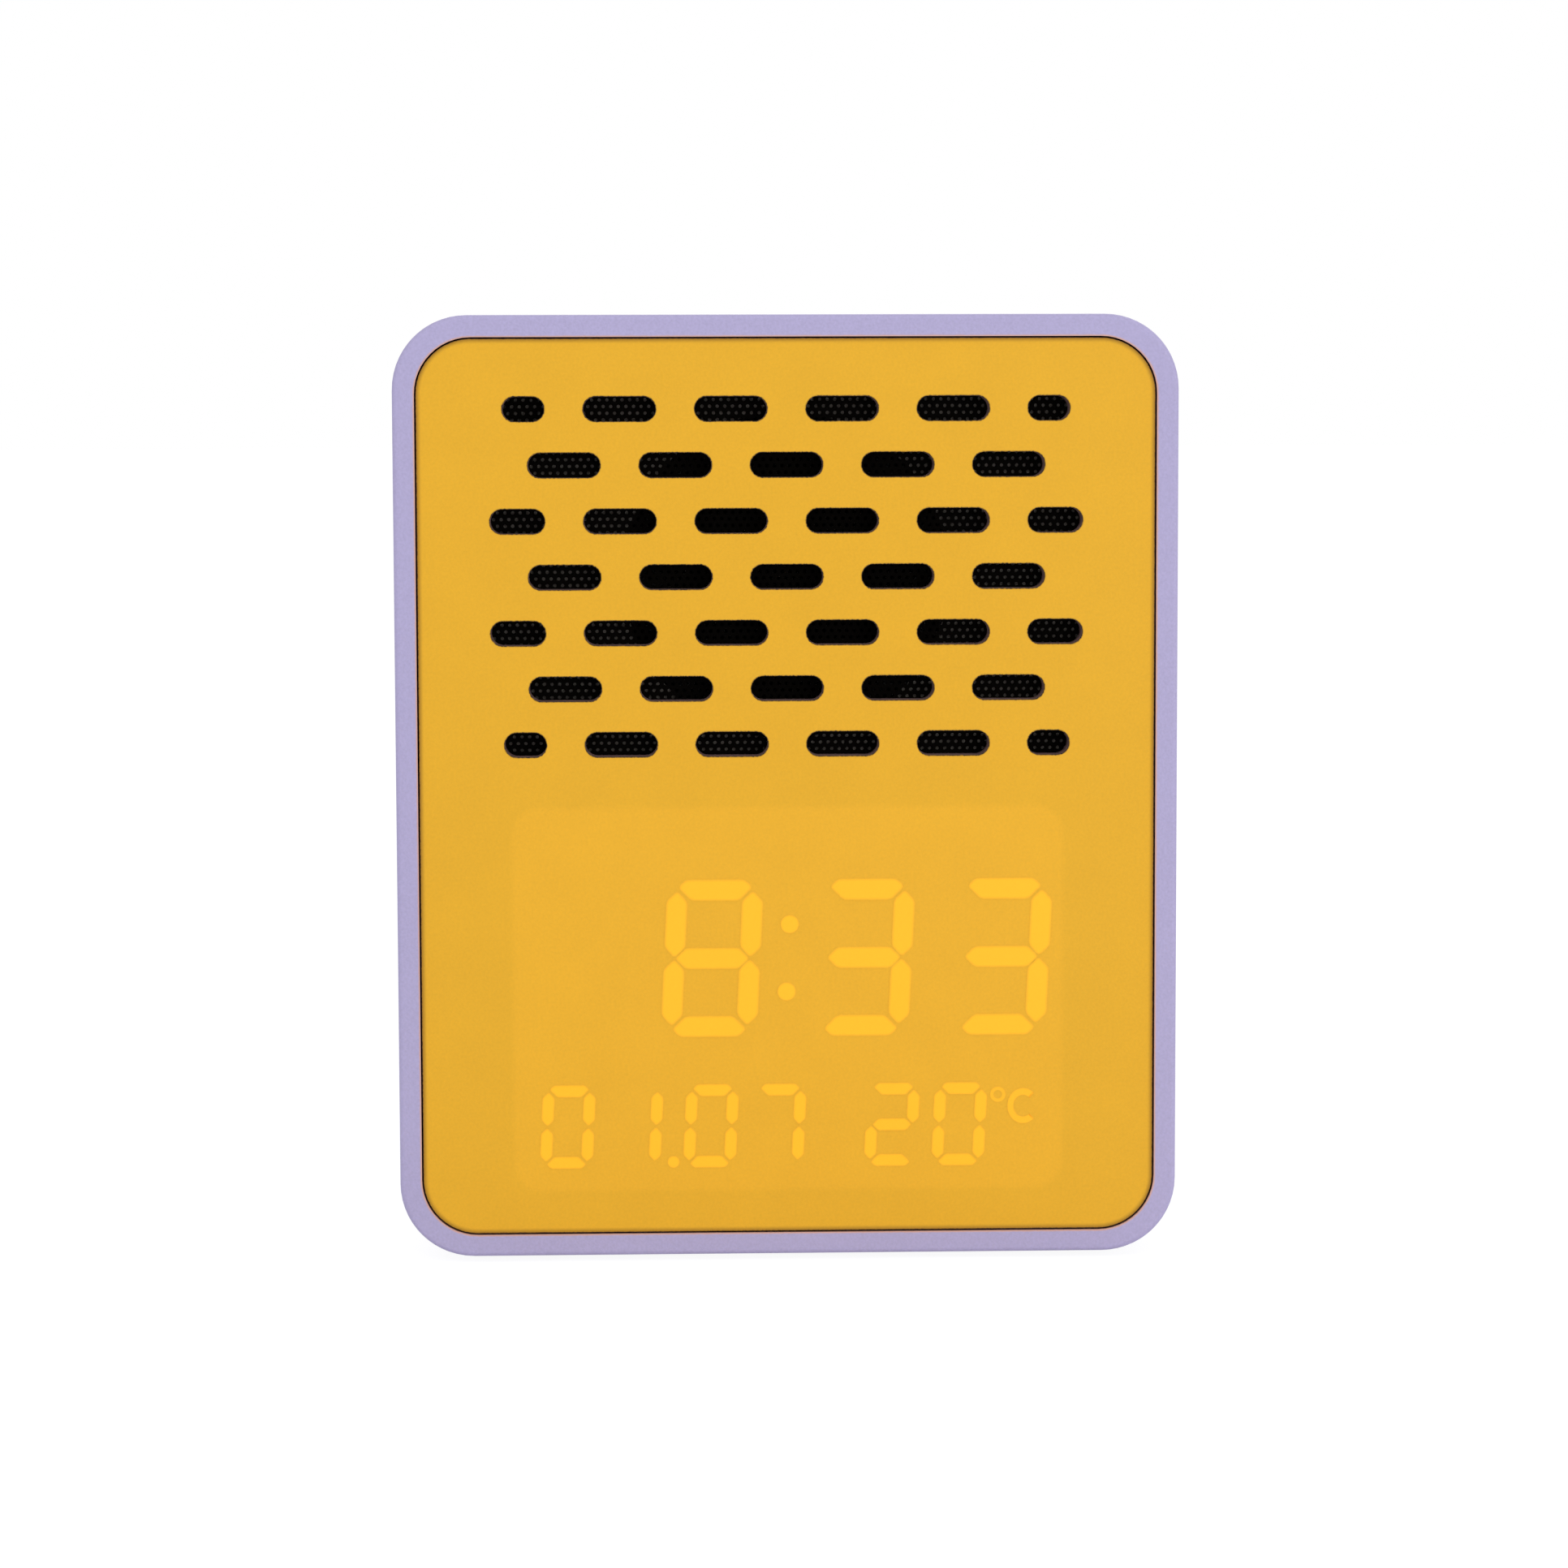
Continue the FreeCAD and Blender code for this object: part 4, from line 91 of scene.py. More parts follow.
class Value:
    """One value in a finish. Sums on it add their Math nodes."""

    def __init__(self, finish, socket):
        self.finish = finish
        self.socket = socket

    def maths(self, operation, *values):
        return self.finish.add("ShaderNodeMath", {"operation": operation}, values)

    def __add__(self, other):
        return self.maths("ADD", self, other)

    __radd__ = __add__

    def __sub__(self, other):
        return self.maths("SUBTRACT", self, other)

    def __rsub__(self, other):
        return self.maths("SUBTRACT", other, self)

    def __mul__(self, other):
        return self.maths("MULTIPLY", self, other)

    __rmul__ = __mul__

    def __truediv__(self, other):
        return self.maths("DIVIDE", self, other)

    def __abs__(self):
        return self.maths("ABSOLUTE", self)

    def at_least(self, other):
        return self.maths("MAXIMUM", self, other)

    def at_most(self, other):
        return self.maths("MINIMUM", self, other)

    def beyond(self, other):
        """One where this value is the greater, else nothing."""
        return self.maths("GREATER_THAN", self, other)

    def nearest(self, pitch):
        """The nearest whole number of pitches."""
        return self.maths("ROUND", self / pitch)

    def within(self, pitch):
        """This value measured from the nearest whole number of pitches."""
        return self.maths("WRAP", self, pitch / 2, -pitch / 2)

    def wave(self):
        return self.maths("SINE", self)

    def rise(self, low, high):
        """A soft step from nothing at low to one at high."""
        return self.finish.add("ShaderNodeMapRange", {"interpolation_type": "SMOOTHSTEP"}, (self, low, high))


def span(across, up):
    """Length of a line that runs so far across and so far up."""
    return (across * across + up * up).maths("SQRT", across * across + up * up)


def outside_of(across, up, half, corner):
    """Distance outside a rounded rectangle, less than nothing inside it."""
    over_x = abs(across) - (half[0] - corner)
    over_z = abs(up) - (half[1] - corner)
    return span(over_x.at_least(0), over_z.at_least(0)) + over_x.at_least(over_z).at_most(0) - corner


class Finish:
    """A material. It reads the clock's own places, in millimetres."""

    def __init__(self, name):
        self.material = bpy.data.materials.new(name)
        self.material.use_nodes = True
        self.tree = self.material.node_tree
        self.tree.nodes.clear()
        coordinates = self.add("ShaderNodeTexCoord", output="Object")
        self.place = self.add("ShaderNodeVectorMath", {"operation": "SCALE"},
                              {"Vector": coordinates, "Scale": 1 / MM})
        self.x = self.add("ShaderNodeSeparateXYZ", {}, [self.place])
        self.y, self.z = (Value(self, self.x.socket.node.outputs[axis]) for axis in ("Y", "Z"))

    def add(self, kind, settings=None, inputs=(), output=0):
        """A node of that kind: its settings first, then its inputs. It gives one of its outputs."""
        node = self.tree.nodes.new(kind)
        for name, setting in (settings or {}).items():
            if name == "stops":
                self.fill(node.color_ramp.elements, setting)
            else:
                setattr(node, name, setting)
        for name, value in (inputs.items() if isinstance(inputs, dict) else enumerate(inputs)):
            socket = node.inputs[name]
            if isinstance(value, Value):
                self.tree.links.new(value.socket, socket)
            elif socket.type == "RGBA":
                socket.default_value = (*value, 1)
            else:
                socket.default_value = value
        return Value(self, node.outputs[output]) if node.outputs else None

    @staticmethod
    def fill(elements, stops):
        while len(elements) < len(stops):
            elements.new(1)
        for element, (position, colour) in zip(elements, stops):
            element.position = position
            element.color = (*colour, 1)

    def blend(self, share, first, second):
        """The first colour where share is nothing, the second where it is one."""
        return self.add("ShaderNodeMix", {"data_type": "RGBA"}, {0: share, 6: first, 7: second}, 2)

    def stretched(self, stretch):
        return self.add("ShaderNodeVectorMath", {"operation": "MULTIPLY"}, [self.place, stretch])

    def grain(self, size, detail=2, stretch=(1, 1, 1)):
        """Soft noise about one half, its grains so many millimetres across."""
        return self.add("ShaderNodeTexNoise", {}, {"Vector": self.stretched(stretch), "Scale": 1 / size,
                                                   "Detail": detail})

    def cells(self, size):
        """Distance from the middle of the nearest cell. The cells are so many millimetres across."""
        return self.add("ShaderNodeTexVoronoi", {}, {"Vector": self.place, "Scale": 1 / size})

    def tinted(self, colour, amounts):
        """A colour made lighter and darker: amounts holds pairs of a value about one half and a strength."""
        total = sum((value - 0.5) * strength for value, strength in amounts) + 1
        lightness = self.add("ShaderNodeCombineXYZ", {}, [total, total, total])
        return self.add("ShaderNodeMix", {"data_type": "RGBA", "blend_type": "MULTIPLY"},
                        {0: 1.0, 6: colour, 7: lightness}, 2)

    def done(self, colour, roughness, relief=None, depth=0.01, more=None):
        """The finished material. Relief is a height from nothing to one, its depth in millimetres."""
        inputs = {"Base Color": colour, "Roughness": roughness}
        if relief is not None:
            inputs["Normal"] = self.add("ShaderNodeBump", {}, {"Height": relief, "Distance": depth * MM,
                                                               "Strength": 1.0})
        inputs.update(more or {})
        self.add("ShaderNodeOutputMaterial", {}, [self.add("ShaderNodeBsdfPrincipled", {}, inputs)])
        return self.material


# Distances that the front's finishes share


def slot_distance(finish):
    """Distance outside the nearest grille slot. Odd rows from the middle have six slots, even rows five."""
    rise = finish.z - GRILLE_MIDDLE
    row = rise.nearest(ROW_PITCH)
    away = abs(row)
    odd = away.maths("MODULO", away, 2)
    side = odd * abs(finish.x).beyond(2 * SLOT_PITCH)
    side_end = SIDE_SLOT_ENDS[0] - (SIDE_SLOT_ENDS[0] - SIDE_SLOT_ENDS[1]) * away.beyond(LAST_ROW - 0.5)
    side_half = (side_end - SIDE_SLOT_START) / 2 - SLOT_RADIUS
    from_side = abs(finish.x) - (side_end + SIDE_SLOT_START) / 2
    from_middle = (finish.x - odd * (SLOT_PITCH / 2)).within(SLOT_PITCH)
    across = from_middle + (from_side - from_middle) * side
    half = SLOT_HALF + (side_half - SLOT_HALF) * side
    far = away.beyond(LAST_ROW + 0.5) + (1 - odd) * abs(finish.x).beyond(2.5 * SLOT_PITCH)
    return span((abs(across) - half).at_least(0), rise - row * ROW_PITCH) - SLOT_RADIUS + far * SLOT_PITCH


def panel_depth(finish):
    """Distance in from the front panel's outline."""
    return 0 - outside_of(finish.x, finish.z - PANEL_MIDDLE, PANEL_HALF, PANEL_CORNER)


def amber_face(finish):
    """The amber of the front with its faint mottle, a touch warmer over the display."""
    over_display = outside_of(finish.x, finish.z - DISPLAY_MIDDLE, WINDOW_HALF, WINDOW_CORNER).rise(0.6, -0.6)
    mottle = finish.grain(7, 3)
    fine = finish.grain(0.35, 2)
    colour = finish.blend(over_display, AMBER, AMBER_OVER_DISPLAY)
    return finish.tinted(colour, [(mottle, 0.07), (fine, 0.15)]), fine


# Finishes of the front

SKIN_SHEEN = {"Specular IOR Level": 0.3}


def front_skin():
    finish = Finish("amber_front_skin")
    colour, fine = amber_face(finish)
    frayed = (finish.grain(0.3, 3) - 0.5) * 0.34
    inward = panel_depth(finish)
    # Painted shade: the face darkens towards the brown over 0.7 mm in from the panel's outline, where the
    # recessed panel meets the case.
    colour = finish.blend(inward.rise(0.7, 0.0) * 0.55, colour, BURN_AND_SHADE_BROWN)
    # Burnt outline along the cut edge, within 0.1 mm of the outline.
    colour = finish.blend((inward + frayed * 0.6).rise(0.1, 0.0), colour, BURN_AND_SHADE_BROWN)
    slot = slot_distance(finish)
    colour = finish.blend((slot + frayed * 0.5).rise(0.20, 0.02) * 0.8, colour, BURN_AND_SHADE_BROWN)
    colour = finish.blend((slot + frayed).rise(0.07, 0.02), colour, CHAR_BLACK)
    return finish.done(colour, 0.42 + fine * 0.12, fine + finish.grain(1.1, 2) * 0.6, 0.012, SKIN_SHEEN)


def front_board():
    finish = Finish("front_board_cut_edges")
    fibres = finish.grain(0.5, 3, (1, 3, 1))
    pale = finish.tinted(PALE_BOARD, [(fibres, 0.5)])
    burnt = finish.tinted(BURNT_BOARD, [(finish.grain(0.5, 3, (2, 0.3, 2)), 0.9)])
    cut = finish.y.rise(BOARD_FRONT, BOARD_FRONT + 0.05) * finish.y.rise(BOARD_BACK, BOARD_BACK - 0.05)
    return finish.done(finish.blend(cut, pale, burnt), 0.85 - fibres * 0.1, fibres, 0.02)


def grille_mesh():
    finish = Finish("black_grille_mesh")
    row = finish.z.nearest(HOLE_ROW)
    odd = row.maths("MODULO", abs(row), 2)
    across = (finish.x - odd * (HOLE_PITCH / 2)).within(HOLE_PITCH)
    from_hole = span(across, finish.z - row * HOLE_ROW)
    solid = from_hole.rise(HOLE_RADIUS - 0.02, HOLE_RADIUS + 0.02)
    fine = finish.grain(0.3, 2)
    colour = finish.tinted((0.0022, 0.0016, 0.0011), [(fine, 0.8)])
    return finish.done(colour, 0.8 + fine * 0.1, fine * 0.3 + from_hole.rise(HOLE_RADIUS, 0.4), 0.03,
                       {"Alpha": solid, "Specular IOR Level": 0.04})


def digit_glow():
    finish = Finish("glowing_digits")
    colour, fine = amber_face(finish)
    share = finish.add("ShaderNodeAttribute", {"attribute_name": "glow"}, (), "Fac")
    colour = finish.blend(share * 0.5, colour, AMBER_LIT)
    glow = finish.blend(share, (0, 0, 0), (0.20, 0.070, 0.002))
    more = {"Emission Color": glow, "Emission Strength": 1.0}
    return finish.done(colour, 0.42 + fine * 0.12, fine, 0.012, {**SKIN_SHEEN, **more})


# Finishes of moulded plastic, rubber and board


def moulded(name, colour, rough, grain_size, relief_depth, tone=0.10):
    finish = Finish(name)
    spark = finish.grain(grain_size, 3)
    cloud = finish.grain(14, 2)
    return finish.done(finish.tinted(colour, [(spark, tone), (cloud, tone * 0.5)]),
                       rough - 0.05 + spark * 0.1, spark, relief_depth)


def violet_case():
    finish = Finish("violet_case")
    spark = finish.grain(0.32, 3)
    cloud = finish.grain(16, 2)
    colour = finish.tinted(VIOLET, [(spark, 0.3), (cloud, 0.05)])
    uneven = (finish.grain(0.7, 3) - 0.5) * 0.15
    rim = outside_of(finish.x, finish.z - PANEL_MIDDLE, OPENING_HALF, OPENING_CORNER) + uneven
    colour = finish.blend(rim.rise(0.28, 0.02) * finish.y.rise(*CUT_EDGE_LEVELS), colour, EDGE_PINK)
    # Painted shade: the walls of the case's opening, in the narrow gap round the front panel, are painted
    # dark brown.
    gap = finish.y.rise(*GAP_FRONT_LEVELS) * finish.y.rise(*GAP_BACK_LEVELS)
    colour = finish.blend(gap * rim.rise(0.06, -0.02) * 0.8, colour, BURN_AND_SHADE_BROWN)
    return finish.done(colour, 0.5 + spark * 0.12, spark, 0.02)


def circuit():
    finish = Finish("green_circuit_boards")
    lane = 1.27
    track_edge = (0.22, 0.14)
    level_patch = finish.cells(6).beyond(0.52)
    along_x = abs(finish.z.within(lane)).rise(*track_edge) * level_patch
    along_z = abs(finish.x.within(lane)).rise(*track_edge) * (1 - level_patch)
    track = along_x.at_least(along_z) * finish.grain(9, 1).beyond(0.47)
    dot = span(finish.x.within(lane * 3), finish.z.within(lane * 3)).rise(0.42, 0.34)
    weave = finish.grain(0.4, 2)
    colour = finish.blend(track, BOARD_GREEN, TRACK_GREEN)
    colour = finish.blend(dot * finish.grain(7, 1).beyond(0.58), colour, PAD_GOLD)
    return finish.done(finish.tinted(colour, [(weave, 0.2)]), 0.33 + weave * 0.1, track + weave * 0.2, 0.03)


def chips():
    finish = Finish("chip_bodies_and_legs")
    fine = finish.grain(0.25, 2)
    leg = finish.y.rise(*CHIP_LEG_LEVELS)
    colour = finish.blend(leg, finish.tinted((0.018, 0.018, 0.019), [(fine, 0.5)]), (0.62, 0.62, 0.60))
    return finish.done(colour, 0.55 - leg * 0.2 + fine * 0.1, fine, 0.012, {"Metallic": leg})


def terminals():
    finish = Finish("laminate_and_tinned_lugs")
    fibre = finish.grain(0.5, 3, (3, 1, 1))
    colour = finish.tinted((0.22, 0.10, 0.035), [(fibre, 0.6)])
    lug = finish.grain(0.8, 1).beyond(0.56)
    return finish.done(finish.blend(lug * 0.6, colour, (0.5, 0.5, 0.5)), 0.5 + fibre * 0.1, fibre, 0.02,
                       {"Metallic": lug * 0.5})


def cloth(name, colour, thread, tone):
    """A woven or pressed sheet, its threads so many millimetres across."""
    finish = Finish(name)
    warp = (finish.x * (math.tau / thread)).wave()
    weft = (finish.z * (math.tau / thread)).wave()
    weave = warp * weft * 0.5 + 0.5
    fibre = finish.grain(0.6, 3)
    return finish.done(finish.tinted(colour, [(weave, tone), (fibre, tone)]), 0.8 + fibre * 0.1,
                       weave + fibre, 0.03)


def leads():
    finish = Finish("insulated_leads")
    rib = abs(finish.x.within(CORE_PITCH)) * (2 / CORE_PITCH)
    fine = finish.grain(0.5, 2)
    colour = finish.tinted((0.17, 0.17, 0.18), [(rib, -0.5), (fine, 0.2)])
    return finish.done(colour, 0.5 + fine * 0.1, 1 - rib * rib, 0.06)


# Finishes of metal


def metal(name, colour, rough, stretch, depth=0.004, tone=0.25, metallic=1.0):
    finish = Finish(name)
    brushed = finish.grain(0.25, 3, stretch)
    cloud = finish.grain(5, 2)
    return finish.done(finish.tinted(colour, [(brushed, tone), (cloud, tone)]),
                       rough - 0.06 + brushed * 0.12, brushed, depth, {"Metallic": metallic})


def passivated():
    """Zinc with the yellow and pinkish clouds of its passivation."""
    finish = Finish("passivated_motor_steel")
    cloud = finish.grain(7, 1)
    stops = [(0.30, (0.58, 0.53, 0.40)), (0.5, (0.62, 0.585, 0.49)), (0.70, (0.59, 0.52, 0.45))]
    bands = finish.add("ShaderNodeValToRGB", {"stops": stops}, [cloud])
    fine = finish.grain(0.3, 3)
    return finish.done(finish.tinted(bands, [(fine, 0.2)]), 0.3 + fine * 0.14, fine, 0.006, {"Metallic": 1.0})


def winding():
    finish = Finish("copper_winding")
    turn = 0.22
    turns = (finish.y * (math.tau / turn)).wave() * 0.5 + 0.5
    fine = finish.grain(0.6, 2)
    return finish.done(finish.tinted((0.62, 0.24, 0.09), [(turns, 0.7), (fine, 0.2)]),
                       0.3 + fine * 0.1, turns, 0.05, {"Metallic": 0.9})


def capacitor_sleeves():
    finish = Finish("capacitor_sleeves")
    fine = finish.grain(0.4, 2)
    stripe = abs(finish.x).within(CAPACITOR_PITCH).rise(1.2, 1.7)
    colour = finish.blend(stripe * 0.8, (0.02, 0.022, 0.04), (0.30, 0.31, 0.33))
    return finish.done(finish.tinted(colour, [(fine, 0.3)]), 0.28 + fine * 0.1, fine, 0.008)


# Finishes that pass light


def cast_lens(name, colour, glow):
    finish = Finish(name)
    mist = finish.grain(0.5, 3)
    glowing = finish.tinted(glow, [(mist, 0.3)])
    return finish.done(finish.tinted(colour, [(mist, 0.15)]), 0.3 + mist * 0.15, mist, 0.01,
                       {"Emission Color": glowing, "Emission Strength": 1.0})


def foam():
    finish = Finish("black_gasket_foam")
    pore = finish.cells(0.5)
    return finish.done(finish.tinted((0.035, 0.035, 0.037), [(pore, 1.0)]), 0.85 + pore * 0.1, pore, 0.12)


FINISHES = {
    "case": violet_case(),
    "board": front_board(),
    "skin": front_skin(),
    "mesh": grille_mesh(),
    "frame": moulded("black_inner_frame", (0.16, 0.142, 0.12), 0.6, 0.4, 0.015, 0.35),
    "back": moulded("violet_back_cover", VIOLET, 0.56, 0.32, 0.014, 0.16),
    "keys": moulded("violet_keys", (0.320, 0.280, 0.505), 0.42, 0.5, 0.006, 0.10),
    "screws": metal("zinc_plated_screws", (0.62, 0.62, 0.64), 0.32, (1, 1, 1)),
    "reflector": moulded("white_display_block", (0.74, 0.74, 0.70), 0.5, 0.6, 0.01, 0.12),
    "lit_lens": cast_lens("glowing_lenses", (0.95, 0.62, 0.16), (0.9, 0.42, 0.03)),
    "dark_lens": cast_lens("unlit_lenses", (0.55, 0.50, 0.40), (0.0, 0.0, 0.0)),
    "lamps": cast_lens("light_chips", (0.95, 0.80, 0.35), (1.0, 0.75, 0.25)),
    "circuit": circuit(),
    "foam": foam(),
    "basket": metal("black_painted_basket", (0.022, 0.022, 0.024), 0.42, (1, 1, 1), 0.012, 0.3, 0.0),
    "surround": moulded("black_rubber_surround", (0.012, 0.012, 0.012), 0.6, 0.6, 0.02, 0.5),
    "cone": cloth("pressed_paper_cone", (0.008, 0.008, 0.008), 0.9, 0.6),
    "coil": winding(),
    "spider": cloth("corrugated_spider_cloth", (0.55, 0.37, 0.10), 0.5, 0.35),
    "motor_steel": passivated(),
    "magnet": moulded("ferrite_magnet", (0.035, 0.035, 0.038), 0.7, 0.5, 0.05, 0.8),
    "terminals": terminals(),
    "chips": chips(),
    "can": metal("bright_steel_cans", (0.72, 0.71, 0.69), 0.26, (1, 0.2, 1)),
    "sleeves": capacitor_sleeves(),
    "switch_body": moulded("black_switch_housings", (0.022, 0.022, 0.024), 0.45, 0.4, 0.01, 0.4),
    "plungers": moulded("black_plungers", (0.04, 0.04, 0.042), 0.45, 0.4, 0.008, 0.3),
    "leads": leads(),
    "feet": moulded("black_rubber_feet", (0.022, 0.022, 0.023), 0.7, 0.5, 0.03, 0.5),
}

for subpart in frame["record"]["subparts"]:
    materials = frame["nodes"][subpart["node"]].data.materials
    materials.clear()
    materials.append(FINISHES[subpart["material_slot"]])

# The lit figures, shining on the front skin

GLOW_THICKNESS = 0.03
BIG_DOT = 1.1
SMALL_DOT = 0.7
DOT_RIM = 0.24
COLON_RISE = 4.35
SLANT = 0.049
SEGMENT_GAP = 0.3
TIP_LEAN = 0.25
BIG = {"width": 12.2, "height": 20.1, "stroke": 2.5, "round": 0.5, "rim": 0.36}
SMALL = {"width": 6.7, "height": 10.7, "stroke": 1.42, "round": 0.28, "rim": 0.26}
SEGMENTS = {
    "a": (0, 1, "top"), "b": (1, 0.5, "upright"), "c": (1, -0.5, "upright"), "d": (0, -1, "bottom"),
    "e": (-1, -0.5, "upright"), "f": (-1, 0.5, "upright"), "g": (0, 0, "middle"),
}
LEANS = {"top": TIP_LEAN, "bottom": -TIP_LEAN, "middle": 0, "upright": 0}
TIME_Z = DISPLAY_MIDDLE + 5.3
DATE_Z = DISPLAY_MIDDLE - 16.42
TIME = [(BIG, -9.75, "abcdefg"), (BIG, 9.75, "abcdg"), (BIG, 27.41, "abcdg")]
DATE = [(SMALL, -28.41, "abcdef"), (SMALL, -19.71, "bc"), (SMALL, -10.0, "abcdef"), (SMALL, -1.3, "abc")]
WARMTH = [(SMALL, 13.32, "abdeg"), (SMALL, 22.02, "abcdef")]
COLON_DOTS = [(rise * SLANT, TIME_Z + rise, BIG_DOT) for rise in (-COLON_RISE, COLON_RISE)]
DATE_DOTS = [(-14.85, DATE_Z - 4.65, SMALL_DOT)]
DEGREE_RING = (27.0, DATE_Z + 3.8)
DEGREE_RING_SIZES = {"radius": 1.05, "stroke": 0.56, "rim": 0.16, "brightness": 0.7}
UNIT_LETTER = (30.25, DATE_Z + 2.3)
UNIT_LETTER_SIZES = {"radius": 2.35, "stroke": 1.0, "round": 0.12, "rim": 0.18, "brightness": 0.85}
UNIT_LETTER_NARROWING = 0.88
UNIT_MOUTH = math.radians(42)
UNIT_MOUTH_CORNERS = UNIT_MOUTH + math.radians(7)
UPRIGHT_TURN = math.pi / 2 - math.atan(SLANT)


def nothing_selected():
    bpy.ops.object.select_all(action="DESELECT")


def start_piece(add, **sizes):
    """A new primitive in edit mode, all of it selected."""
    nothing_selected()
    add(**sizes)
    bpy.ops.object.mode_set(mode="EDIT")
    return bpy.context.object


def end_edit():
    bpy.ops.object.mode_set(mode="OBJECT")


def pick(piece, test):
    """Selects, in edit mode, the corners of the piece that pass the test."""
    bpy.ops.mesh.select_mode(type="VERT")
    bpy.ops.mesh.select_all(action="DESELECT")
    end_edit()
    for vertex in piece.data.vertices:
        vertex.select = test(vertex.co)
    bpy.ops.object.mode_set(mode="EDIT")


def upright_in_front(piece):
    """Fixes the piece's turn, so that it stands flat in the front's plane."""
    end_edit()
    bpy.ops.object.transform_apply(location=True, rotation=True, scale=True)
    bpy.ops.object.mode_set(mode="EDIT")


def soft_rim(piece, width, brightness=1.0):
    """Marks the middle of a flat figure as glowing and leaves a rim of that width to fade."""
    bpy.ops.mesh.select_all(action="SELECT")
    bpy.ops.mesh.inset(thickness=width * MM, depth=0)
    end_edit()
    inner = {index for face in piece.data.polygons if face.select for index in face.vertices}
    glow = piece.data.attributes.new("glow", "FLOAT", "POINT")
    for index in range(len(piece.data.vertices)):
        glow.data[index].value = brightness if index in inner else 0.0


def segment(figure, kind):
    """One six-sided segment, flat in the front's plane. Its rim lies half outside its outline."""
    upright = kind == "upright"
    length = (figure["height"] - figure["stroke"]) / 2 if upright else figure["width"] - figure["stroke"]
    half_rim = figure["rim"] / 2
    tip = ((length - SEGMENT_GAP) / 2 + half_rim) * MM
    half_stroke = (figure["stroke"] / 2 + half_rim) * MM
    piece = start_piece(bpy.ops.mesh.primitive_plane_add, size=2, rotation=(math.pi / 2, 0, 0))
    upright_in_front(piece)
    bpy.ops.transform.resize(value=(tip - half_stroke, 1, half_stroke))
    for side in (-1, 1):
        pick(piece, lambda place: place.x * side > 0)
        bpy.ops.mesh.extrude_region_move(TRANSFORM_OT_translate={"value": (side * half_stroke, 0, 0)})
        bpy.ops.mesh.merge(type="CENTER")
        bpy.ops.transform.translate(value=(0, 0, LEANS[kind] * half_stroke))
    for side in (-1, 1):
        for level in (-1, 1):
            pick(piece, lambda place: place.x * side > 0 and place.z * level > 0.9 * half_stroke)
            bpy.ops.transform.translate(value=(side * level * LEANS[kind] * half_stroke, 0, 0))
    bpy.ops.mesh.select_all(action="SELECT")
    bpy.ops.mesh.dissolve_limited()
    bpy.ops.mesh.bevel(offset=figure["round"] * MM, segments=3, affect="VERTICES")
    if upright:
        bpy.ops.mesh.select_all(action="SELECT")
        bpy.ops.transform.rotate(value=UPRIGHT_TURN, orient_axis="Y", center_override=(0, 0, 0))
    soft_rim(piece, figure["rim"])
    return piece


def disc(radius):
    """A flat round figure in the front's plane, in edit mode."""
    piece = start_piece(bpy.ops.mesh.primitive_circle_add, radius=radius * MM, vertices=48, fill_type="NGON",
                        rotation=(math.pi / 2, 0, 0))
    upright_in_front(piece)
    return piece


def dot(radius):
    piece = disc(radius + DOT_RIM / 2)
    soft_rim(piece, DOT_RIM)
    return piece


def moved_copy(pattern, x, z):
    """A copy of a flat figure with its own mesh, moved to a place on the front."""
    copy = pattern.copy()
    copy.data = pattern.data.copy()
    bpy.context.collection.objects.link(copy)
    copy.location = (x * MM, 0, z * MM)
    return copy


SEGMENT_PATTERNS = {(figure["width"], kind): segment(figure, kind)
                    for figure in (BIG, SMALL) for kind in LEANS}
DOT_PATTERNS = {radius: dot(radius) for radius in (BIG_DOT, SMALL_DOT)}


def figures(digits, middle_z, dots):
    """The lit segments and dots of one group of figures."""
    parts = []
    for figure, middle_x, lit in digits:
        for letter in lit:
            share_x, share_z, kind = SEGMENTS[letter]
            x = share_x * (figure["width"] - figure["stroke"]) / 2
            z = share_z * (figure["height"] - figure["stroke"]) / 2
            pattern = SEGMENT_PATTERNS[figure["width"], kind]
            parts.append(moved_copy(pattern, middle_x + x + SLANT * z, middle_z + z))
    return parts + [moved_copy(DOT_PATTERNS[radius], x, z) for x, z, radius in dots]


def ring(sizes):
    """A flat ring in the front's plane: a disc with its middle taken out."""
    piece = disc(sizes["radius"])
    bpy.ops.mesh.inset(thickness=sizes["stroke"] * MM, depth=0)
    bpy.ops.mesh.delete(type="FACE")
    return piece


def placed(piece, sizes, place):
    """The piece with its soft rim, at its place on the front."""
    soft_rim(piece, sizes["rim"], sizes["brightness"])
    piece.location = (place[0] * MM, 0, place[1] * MM)
    return piece


def degree_ring():
    return placed(ring(DEGREE_RING_SIZES), DEGREE_RING_SIZES, DEGREE_RING)


def unit_letter():
    """The letter C of the unit: an oval ring with a mouth on its right."""
    piece = ring(UNIT_LETTER_SIZES)
    pick(piece, lambda place: abs(math.atan2(place.z, place.x)) < UNIT_MOUTH)
    bpy.ops.mesh.delete(type="VERT")
    pick(piece, lambda place: abs(math.atan2(place.z, place.x)) < UNIT_MOUTH_CORNERS)
    bpy.ops.mesh.bevel(offset=UNIT_LETTER_SIZES["round"] * MM, segments=3, affect="VERTICES")
    bpy.ops.mesh.select_all(action="SELECT")
    bpy.ops.transform.resize(value=(UNIT_LETTER_NARROWING, 1, 1), center_override=(0, 0, 0))
    return placed(piece, UNIT_LETTER_SIZES, UNIT_LETTER)


